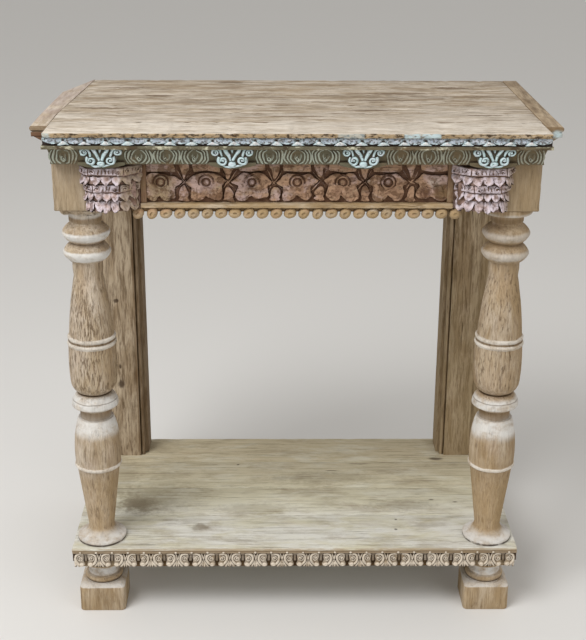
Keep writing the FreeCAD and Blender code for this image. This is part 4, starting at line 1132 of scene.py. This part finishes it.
def turned(turning, z, wear):
    """Spins a profile round the upright axis of the right leg and wears its edges."""
    profile = [(0, turning[0][1]), turning[0][:2]]
    for radius, height, swell in turning[1:]:
        gap = math.dist(profile[-1], (radius, height))
        profile += arc_points(profile[-1], (radius, height), swell, max(4, int(gap / 6)))
    profile.append((0, turning[-1][1]))
    mesh = bpy.data.meshes.new("turning")
    points = [((LEG_X + radius) * MM, LEG_Y * MM, (z + height) * MM) for radius, height in profile]
    mesh.from_pydata(points, [(index, index + 1) for index in range(len(points) - 1)], [])
    piece = added("turning", mesh)
    with editing(piece, "EDGE", "SELECT"):
        bpy.ops.mesh.spin(steps=64, angle=2 * math.pi, center=(LEG_X * MM, LEG_Y * MM, 0), axis=(0, 0, 1))
    return soften(tidy(piece), wear)


def leg_block(half, low, high):
    """A square block about the axis of the right leg."""
    return box((LEG_X - half, LEG_Y - half, low), (LEG_X + half, LEG_Y + half, high))


class PIER_OT_legs(PierOperator, bpy.types.Operator):
    """Turn the two front legs under their head blocks"""
    bl_idname = "pier.legs"
    bl_label = "Front legs"

    def make(self, sizes, colours):
        turning = chip(turned(LEG_TURNING, SHELF_TOP, sizes.turning_wear), 0.5 * MM, 22, 6)
        head = worn(leg_block(HEAD_HALF, HEAD_LOW, HEAD_HIGH), 2, 8, sizes.block_wear, 1.2 * MM, 20, 3, 3)
        right = smooth(joined([turning, head], "turned_leg_right"))
        left = copied(right, MIRROR_X, name="turned_leg_left")
        self.break_rim(left)
        dress(right, leg_finish("right", colours, (5, 2, 1), 0.95, 0.5, 0.34, RIGHT_WASH), "front_leg_right")
        dress(left, leg_finish("left", colours, (1, 7, 3), 0.6, 0.32, 0.42, LEFT_WASH), "front_leg_left")

    def break_rim(self, leg):
        """Breaks the front of the disc under the left head block away."""
        for vertex in leg.data.vertices:
            x, y, z = vertex.co / MM
            away = Vector((x + LEG_X, y - LEG_Y))
            if 716 < z < 727 and y < -162 and x > -366 and away.length > 28:
                reach = 28 + 2.5 * noise.noise(Vector((x, y, z)) * 0.15)
                vertex.co.x = (-LEG_X + away.x * reach / away.length) * MM
                vertex.co.y = (LEG_Y + away.y * reach / away.length) * MM


# Tiers of a petal boss from the top down, with their heights
BOSS_TIERS = (("plaque", 14.5), ("petals", 13), ("plaque", 14), ("petals", 12), ("skirt", 18))


class PIER_OT_bosses(PierOperator, bpy.types.Operator):
    """Carve the petal bosses on the head blocks"""
    bl_idname = "pier.bosses"
    bl_label = "Petal bosses"

    def make(self, sizes, colours):
        pieces = [level_relief(box((245, -184, 732), (295.5, -165, HEAD_HIGH)), 0),
                  level_relief(box((250, -196, 740), (326, -184, 805)), 0)]
        high = BOSS_HIGH
        for kind, height in BOSS_TIERS:
            pieces += self.tier(kind, (BOSS_HIGH - high + height / 2) / BOSS_HEIGHT, high, height)
            high -= height
        right = smooth(joined(pieces, "carved_boss_right"), 50)
        left = copied(right, MIRROR_X, name="carved_boss_left")
        sides = ((right, "right", 322, 0.6), (left, "left", -274, 0.75))
        for seed, (piece, side, bare_from, share) in enumerate(sides):
            chip(sway(piece, 1.8, 9, seed), 2.2 * MM, 8, seed + 3)
            dress(piece, boss_finish(side, colours, bare_from, share), "petal_boss_" + side)

    def tier(self, kind, level, high, height):
        """One tier on three sides of the boss; the level goes from 0 at the top to 1 at the foot."""
        half, front_half, front = 48 - 11 * level, 29 - 17 * min(level, 0.6), -213.5 + 8 * level
        plan = [Vector(point) for point in ((BOSS_ROOT - half, -184), (BOSS_FACE - front_half, front),
                                            (BOSS_FACE + front_half, front), (BOSS_ROOT + half, -194.5))]
        outline = [*plan, Vector((plan[-1].x, -190)), Vector((plan[0].x, -180))]
        core = prism([(point.x, point.y, high - height) for point in outline], 0, 0, height)
        pieces = [level_relief(core, 0)]
        for start, end, petals in zip(plan, plan[1:], (2, 3, 2)):
            along = end - start
            turn = Matrix.Rotation(math.atan2(along.y, along.x), 4, "Z")
            if kind == "plaque":
                middle = (start + end) / 2
                pieces.append(moved(self.plaque(along.length, height), turn, shift(middle.x, middle.y, high)))
                continue
            width = along.length / petals
            if kind == "skirt":
                petal = leaf(width * 1.1, height * 1.02, 3.0, 5.0, 0.45, 0.8, 3.6, 8, 0, 0.36)
            else:
                petal = leaf(width * 1.08, height * 1.04, 2.6, 6.0, 0.3, 0.8, 3.4, 8, 0.35, 0.3)
            for index in range(petals):
                spot = start + along * ((index + 0.5) / petals)
                vary = noise.noise(Vector((spot.x, high, 2)) * 0.21)
                size = Matrix.Diagonal((1 + 0.12 * vary, 1, 1 - 0.14 * vary, 1))
                tilt = Matrix.Rotation(0.25 * vary, 4, "Y") @ size
                pieces.append(copied(petal, tilt, turn, shift(spot.x, spot.y, high)))
            drop(petal)
        return pieces

    def plaque(self, width, height):
        """A worn tablet with scrolls at the ends and flutes between."""
        reach = width / 2 - 0.5
        tablet = soften(box((-reach, -2.6, -height + 1.4), (reach, 3, -0.6)), 1.8 * MM)
        pieces = [mark_relief(tablet, -5, 3.4)]
        curl = min(4.6, reach * 0.36)
        middle = -height / 2 - 0.4
        for side in (-1, 1):
            x = side * (reach - curl - 1.8)
            scroll = rib(volute(x, middle, curl, 1.1, 0, side, 0.3), 2.4, 1.6)
            eye = level_relief(knob(x, middle, curl, curl, 1), 0)
            pieces += [moved(scroll, shift(0, -2.6, 0)), moved(eye, shift(0, -2.6, 0))]
        room = reach - 2 * curl - 3
        bars = max(2, int(room * 2 / 5))
        for index in range(bars):
            x = room * ((2 * index + 1) / bars - 1)
            flute = level_relief(rib([(x - 0.8, -3.6), (x + 0.8, -height + 4.2)], 1.7), 0)
            pieces.append(moved(flute, shift(0, -2.8, 0)))
        return joined(pieces, "plaque")


class PIER_OT_frieze(PierOperator, bpy.types.Operator):
    """Carve the rosette frieze in its frame"""
    bl_idname = "pier.frieze"
    bl_label = "Frieze"

    def make(self, sizes, colours):
        ground = level_relief(box((-FRIEZE_END, FRIEZE_FRONT, 740), (FRIEZE_END, -165, HEAD_HIGH)), 0)
        carving = self.row(self.rosette(), range(-3, 4)) + self.row(self.bud(), [i + 0.5 for i in range(-3, 3)])
        carving = chip(sway(joined(carving, "carving"), 4.2, 16, 3), 2.6 * MM, 13, 4)
        panel = joined([ground, carving, *self.row(self.eye(), range(-3, 3))], "carved_frieze")
        self.trim(panel)
        dress(smooth(panel, 50), frieze_finish(colours), "frieze_panel")
        rail, stile = rail_finish(colours), stile_finish(colours)
        for node, axis, material in (("frieze_rail", 0, rail), ("frieze_stile_left", 2, stile),
                                     ("frieze_stile_right", 2, stile)):
            dress(worn(node_copy(node, "worn_" + node), axis, 5, 1.4 * MM, 1.5 * MM, 12, 5), material, node)

    def row(self, motif, places):
        """Copies of a motif along the frieze, by places in pitches."""
        copies = [copied(motif, shift(place * FRIEZE_PITCH, FRIEZE_FRONT, FRIEZE_MIDDLE)) for place in places]
        drop(motif)
        return copies

    def trim(self, panel):
        """Cuts the end rosettes off where the stiles stand."""
        for side in (-1, 1):
            with editing(panel, action="SELECT"):
                bpy.ops.mesh.bisect(plane_co=(side * FRIEZE_END * MM, 0, 0), plane_no=(side, 0, 0),
                                    clear_outer=True, use_fill=True)

    def rosette(self):
        """Flat petals spread like a butterfly, with a tablet above."""
        half = rounded([(0, 13), (10, 13.5), (18, 12), (26, 6), (32, 1.6), (27.5, -4), (23, -7.5), (24.6, -14),
                        (26, -22), (21, -29), (11, -30), (4, -27), (0, -23)])
        body = slab(mirrored(half), 5, 1.6)
        tablet = slab(mirrored([(0, 16), (20, 16), (21.5, 19), (21, 34), (0, 34)]), 4.6, 1.6)
        splay = Matrix.Rotation(math.radians(-28), 4, "Y")
        lobe = moved(leaf(15, 20, 1.8, 0, 0.3, 0.4, 2, rim=0.6), shift(0, -5, 0), splay, shift(5, 0, -7))
        return joined([body, tablet, *pair(lobe)], "rosette")

    def eye(self):
        """The eye of a rosette: a ring in a moat about a pip in a well."""
        around = [(math.cos(math.radians(a)), math.sin(math.radians(a))) for a in range(0, 391, 30)]
        ring = rib([(9.4 * x, 9.4 * z) for x, z in around], 3.8, 1.7)
        moat = level_relief(rib([(12.6 * x, 12.6 * z) for x, z in around], 2.2, 0.8), 0)
        well, pip = level_relief(knob(0, 0, 15, 15, 1.4), 0), knob(0, 0, 9, 9, 3)
        pieces = [moved(piece, shift(0, -4.2, 0)) for piece in (ring, moat)]
        pieces += [moved(piece, shift(0, -4.4, 0)) for piece in (well, pip)]
        return joined(pieces, "eye")

    def bud(self):
        """A bud above and a vase below the crossing of two raised lines."""
        top = slab(mirrored(rounded([(0, 5), (3, 8), (5.6, 15), (8.6, 25), (9.5, 33), (0, 34)], 3)), 4)
        vase = slab(mirrored(rounded([(0, -6), (3, -8), (6, -13), (7, -19), (6, -24), (8, -30), (0, -32)], 3)), 4)
        line = rib([(-12, 17), (-5, 6), (0, 0), (5, -5), (11, -14)], (1.4, 2.4, 3, 2.4, 1.4), 1.8)
        return joined([top, vase, *pair(line)], "bud")


class PIER_OT_beads(PierOperator, bpy.types.Operator):
    """Carve the strip of pearls under the frieze"""
    bl_idname = "pier.beads"
    bl_label = "Pearls"

    def make(self, sizes, colours):
        low, high = node_box("bead_strip")
        strip = level_relief(soften(box((low.x, -178, 724), (high.x, -165, 732)), 1 * MM), 0)
        nick = moved(level_relief(rib([(-3, -1.5), (0, -2.4), (3, -1.8)], 1.6), 0), shift(0, -8.2, 0))
        pearl = joined([knob(0, 0, 20.4, 17.4, 8.8), nick], "pearl")
        pieces = [strip]
        for index in range(sizes.beads):
            x = (high.x - 10) * (2 * index / (sizes.beads - 1) - 1)
            swell = 1 + 0.09 * noise.noise(Vector((x, 3, 1)) * 0.3)
            size = Matrix.Diagonal((swell, 1, 2 - swell, 1)) @ Matrix.Rotation(swell * 9, 4, "Y")
            pieces.append(copied(pearl, size, shift(x, PEARL_FRONT, PEARL_MIDDLE)))
        drop(pearl)
        beads = chip(joined(pieces, "pearl_strip"), 0.8 * MM, 8, 1)
        dress(smooth(beads, 60), pearl_finish(colours), "bead_strip")


class PIER_OT_posts(PierOperator, bpy.types.Operator):
    """Wear the edges of the moulded rear posts"""
    bl_idname = "pier.posts"
    bl_label = "Rear posts"

    def make(self, sizes, colours):
        for seed, side in enumerate(("left", "right"), 7):
            node = "rear_post_" + side
            post = worn(node_copy(node, "worn_" + node), 2, 12, 1.1 * MM, 0.9 * MM, 18, seed)
            dress(post, post_finish(side, colours), node)


class PIER_OT_shelf(PierOperator, bpy.types.Operator):
    """Model the whitewashed boards of the shelf"""
    bl_idname = "pier.shelf"
    bl_label = "Shelf"

    def make(self, sizes, colours):
        wear = sizes.board_wear
        for index, place in enumerate(("front", "second", "third", "back")):
            node = "shelf_board_" + place
            low, high = node_box(node)
            front = -187 if place == "front" else low.y
            board = box((low.x, front, low.z), high)
            if place == "front":
                self.add_lip(board, low.y - front)
            worn(board, 0, 9, wear, wear * 0.8, 16, index + 9)
            board.name = "worn_" + node
            dress(board, shelf_finish(place, (index * 3.7, index * 5.1, 2), colours), node)

    def add_lip(self, board, reach):
        """Draws the lip out of the top of the front edge."""
        with editing(board, action="SELECT"):
            bpy.ops.mesh.bisect(plane_co=(0, 0, LIP_LOW * MM), plane_no=(0, 0, 1))
            pick(board, bmesh.from_edit_mesh(board.data).faces,
                 lambda face: face.normal.y < -0.9 and face.calc_center_median().z > LIP_LOW * MM)
            extrude(0, reach, 0)


class PIER_OT_edging(PierOperator, bpy.types.Operator):
    """Carve the scrolls of the shelf edging"""
    bl_idname = "pier.edging"
    bl_label = "Shelf edging"

    def make(self, sizes, colours):
        low, high = node_box("shelf_edging")
        ground = node_copy("shelf_edging", "ground")
        squeeze = shift(0, high.y, high.z) @ Matrix.Diagonal((1, 0.55, 0.64, 1)) @ shift(0, -high.y, -high.z)
        level_relief(moved(ground, squeeze), 0.2)
        strip = soften(box((low.x, -199.5, high.z - 4.4), (high.x, -192, high.z)), 0.8 * MM)
        width = sizes.edging_rib / MM
        unit, fan = self.unit(width), self.fan(width)
        pitch = (high.x - low.x) / sizes.edging_units

        def place(x):
            return shift(x, EDGING_FRONT, high.z - 4.6)

        pieces = [copied(fan, place(low.x + 3)), copied(fan, MIRROR_X, place(high.x - 3))]
        for index in range(sizes.edging_units):
            x = low.x + (index + 0.5) * pitch
            pieces.append(copied(unit, place(x)))
            if index:
                between = place(x - pitch / 2)
                pieces += [copied(fan, between), copied(fan, MIRROR_X, between)]
        carving = sway(joined(pieces, "carving"), 0.9, 12, 4)
        pin = knob(0, 0, 5.4, 5, 2.4)
        pins_along = round((high.x - low.x) / 27)
        spots = [low.x + (index + 0.5) * (high.x - low.x) / pins_along for index in range(pins_along)]
        pins = [copied(pin, shift(x, -199.2, high.z - 1.6)) for x in spots]
        drop(unit, fan, pin)
        edging = joined([ground, level_relief(strip, 0.6), carving, *pins], "carved_edging")
        dress(smooth(chip(edging, 0.7 * MM, 6, 8), 50), edging_finish(colours), "shelf_edging")

    def unit(self, width):
        """Two C scrolls, each curled round an eye and falling to a fat lobe beside a sunk stem."""
        outline = rounded([(3.4, -3), (9, -0.8), (15.4, -2.6), (18, -9), (17, -16), (13, -22.5), (8, -26.4),
                           (4.2, -25.6), (3, -21), (4.4, -15), (3.4, -8), (3.4, -3)])
        arch = rib([(4, -2.2), (10, -0.6), (16, -3), (18, -10), (16.4, -17), (12, -22)],
                   [width * w for w in (1, 1.4, 1.5, 1.5, 1.8, 1.4)], 1.4)
        curl = rib(volute(9.8, -10.6, 5.8, 1.2, 100, -1, 0.3), width * 0.95, 1.5)
        raised = [moved(piece, shift(0, -2, 0)) for piece in (arch, curl, knob(9.8, -10.6, 3.6, 3.6, 4))]
        pieces = [level_relief(soften(box((-5, -2.6, -4), (5, 1, -0.6)), 1 * MM), 0.45),
                  level_relief(soften(box((-2.4, -2, -16), (2.4, 1, -4)), 1 * MM), 0.42)]
        for piece in (level_relief(slab(outline[:-1], 3, 0.8), 0.47), *raised, knob(8, -22.4, 11.8, 10, 5.8)):
            pieces += pair(piece)
        return joined(pieces, "edging_unit")

    def fan(self, width):
        """One side of the fan of leaves between two scrolls."""
        arm = rib([(0.4, -13), (3, -18), (6, -23), (8, -27.6)], [width * w for w in (1, 1.7, 2.2, 1)], 1.4)
        horn = rib([(0.4, -13), (1.8, -8), (4, -1.5)], [width * w for w in (1.4, 1.4, 1.1)], 1.4)
        middle = level_relief(moved(leaf(4.4, 12, 3, 0.8, 0.4, sharp=0.5), shift(1.6, 0, -16)), 0.85)
        return joined([arm, horn, middle], "fan")


class PIER_OT_feet(PierOperator, bpy.types.Operator):
    """Turn and block out the front feet"""
    bl_idname = "pier.feet"
    bl_label = "Front feet"

    def make(self, sizes, colours):
        block = leg_block(FOOT_HALF, 0, 46)
        with editing(block, "EDGE") as mesh:
            pick(block, mesh.edges, lambda edge: span_along(edge, 2) > 40 * MM)
            bpy.ops.mesh.bevel(offset=8 * MM, segments=4, affect="EDGES")
        with editing(block) as mesh:
            pick(block, mesh.faces, lambda face: face.normal.z > 0.9)
            extrude(0, 0, 4)
            bpy.ops.transform.resize(value=(0.84, 0.84, 1), center_override=(LEG_X * MM, LEG_Y * MM, 50 * MM))
        soften(block, 1.6 * MM, 2, 25)
        turning = turned(FOOT_TURNING, 0, sizes.turning_wear)
        right = smooth(joined([block, turning], "turned_foot_right"))
        left = copied(right, MIRROR_X, name="turned_foot_left")
        for seed, (piece, side) in enumerate(((right, "right"), (left, "left"))):
            dress(piece, foot_finish(side, seed, colours), "front_foot_" + side)


class PIER_OT_carcase(PierOperator, bpy.types.Operator):
    """Finish the plain rails, battens, bearers, rear feet and dowels"""
    bl_idname = "pier.carcase"
    bl_label = "Carcase"

    def make(self, sizes, colours):
        runs = (
            # The shelf rail behind the edging is darkened as painted shade
            ("Shelf rail wood in painted shade", ALONG_X, 7, 2.4, "shelf_rail"),
            ("Carcase wood 1", ALONG_X, 0, 1.5, "front_rail back_rail"),
            ("Carcase wood 2", ALONG_Y, 3, 1.5, "side_rail_left side_rail_right top_batten_left top_batten_right "
                                                "shelf_bearer_left shelf_bearer_right"),
            ("Carcase wood 3", ALONG_Z, 6, 1.5, "rear_foot_left rear_foot_right standing_dowels"),
        )
        for name, stretch, offset, shade, nodes in runs:
            material = Finish(name, colours, stretch, (offset, 1, 6), shade).done(0.5, 0.7)
            for node in nodes.split():
                repaint(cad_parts[node], material)


class PIER_OT_stage(PierOperator, bpy.types.Operator):
    """Set the floor, the lights and the camera"""
    bl_idname = "pier.stage"
    bl_label = "Stage"

    def make(self, sizes, colours):
        self.add_floor()
        self.add_lights()
        self.add_camera()
        bpy.context.scene.view_settings.view_transform = "Standard"

    def add_floor(self):
        deselect()
        bpy.ops.mesh.primitive_plane_add(size=60)
        floor = bpy.context.object
        floor.name = "floor"
        material = bpy.data.materials.new("Floor")
        material.use_nodes = True
        shader = material.node_tree.nodes["Principled BSDF"]
        shader.inputs["Base Color"].default_value = (0.74, 0.73, 0.71, 1)
        shader.inputs["Roughness"].default_value = 0.9
        floor.data.materials.append(material)

    def add_lights(self):
        world = bpy.data.worlds.new("Studio")
        bpy.context.scene.world = world
        world.use_nodes = True
        sky = world.node_tree.nodes["Background"].inputs
        sky["Color"].default_value = (1.0, 0.98, 0.95, 1)
        sky["Strength"].default_value = 0.55
        aim = Vector((0, 0, 0.45))
        for name, place, size, power in (("key", (-1.5, -1.7, 3.2), 1.8, 88), ("fill", (2.0, -2.6, 1.7), 2.0, 14)):
            light = bpy.data.lights.new(name, "AREA")
            light.size = size
            light.energy = power
            lamp = added(name, light)
            lamp.location = place
            lamp.rotation_euler = (aim - Vector(place)).to_track_quat("-Z", "Y").to_euler()

    def add_camera(self):
        """Places the camera as solved from the table's own edges; the focal length is in pixels."""
        focal, picture_height = 1264.14, 640
        lens = bpy.data.cameras.new("camera")
        lens.sensor_fit = "VERTICAL"
        lens.sensor_height = 36
        lens.lens = focal * lens.sensor_height / picture_height
        camera = added("camera", lens)
        pitch, yaw, roll = (math.radians(angle) for angle in (20.57, 0.83, 0.31))
        ahead = Vector((math.sin(yaw) * math.cos(pitch), math.cos(yaw) * math.cos(pitch), -math.sin(pitch)))
        right = Vector((math.cos(yaw), -math.sin(yaw), 0))
        up = right.cross(ahead)
        turned_right = right * math.cos(roll) + up * math.sin(roll)
        turned_up = up * math.cos(roll) - right * math.sin(roll)
        axes = Matrix((turned_right, turned_up, -ahead)).transposed().to_4x4()
        camera.matrix_world = Matrix.Translation((-0.0333, -2.1035, 1.2647)) @ axes
        bpy.context.scene.camera = camera


STEPS = (PIER_OT_top, PIER_OT_petal_moulding, PIER_OT_cornice, PIER_OT_legs, PIER_OT_bosses, PIER_OT_frieze,
         PIER_OT_beads, PIER_OT_posts, PIER_OT_shelf, PIER_OT_edging, PIER_OT_feet, PIER_OT_carcase, PIER_OT_stage)


class PIER_PT_sidebar(bpy.types.Panel):
    """Lists the steps that make the table"""
    bl_idname = "PIER_PT_sidebar"
    bl_label = "Pier table"
    bl_space_type = "VIEW_3D"
    bl_region_type = "UI"
    bl_category = "Pier table"

    def draw(self, context):
        for step in STEPS:
            self.layout.operator(step.bl_idname)
        for group in (context.scene.pier_sizes, context.scene.pier_colours):
            for name in group.__annotations__:
                self.layout.prop(group, name)


CLASSES = (TableSizes, TableColours, *STEPS, PIER_PT_sidebar)


def register():
    for item in CLASSES:
        bpy.utils.register_class(item)
    bpy.types.Scene.pier_sizes = PointerProperty(type=TableSizes)
    bpy.types.Scene.pier_colours = PointerProperty(type=TableColours)


def unregister():
    del bpy.types.Scene.pier_sizes
    del bpy.types.Scene.pier_colours
    for item in reversed(CLASSES):
        bpy.utils.unregister_class(item)


def main():
    register()
    for step in STEPS:
        group, name = step.bl_idname.split(".")
        getattr(getattr(bpy.ops, group), name)()


if __name__ == "__main__":
    main()
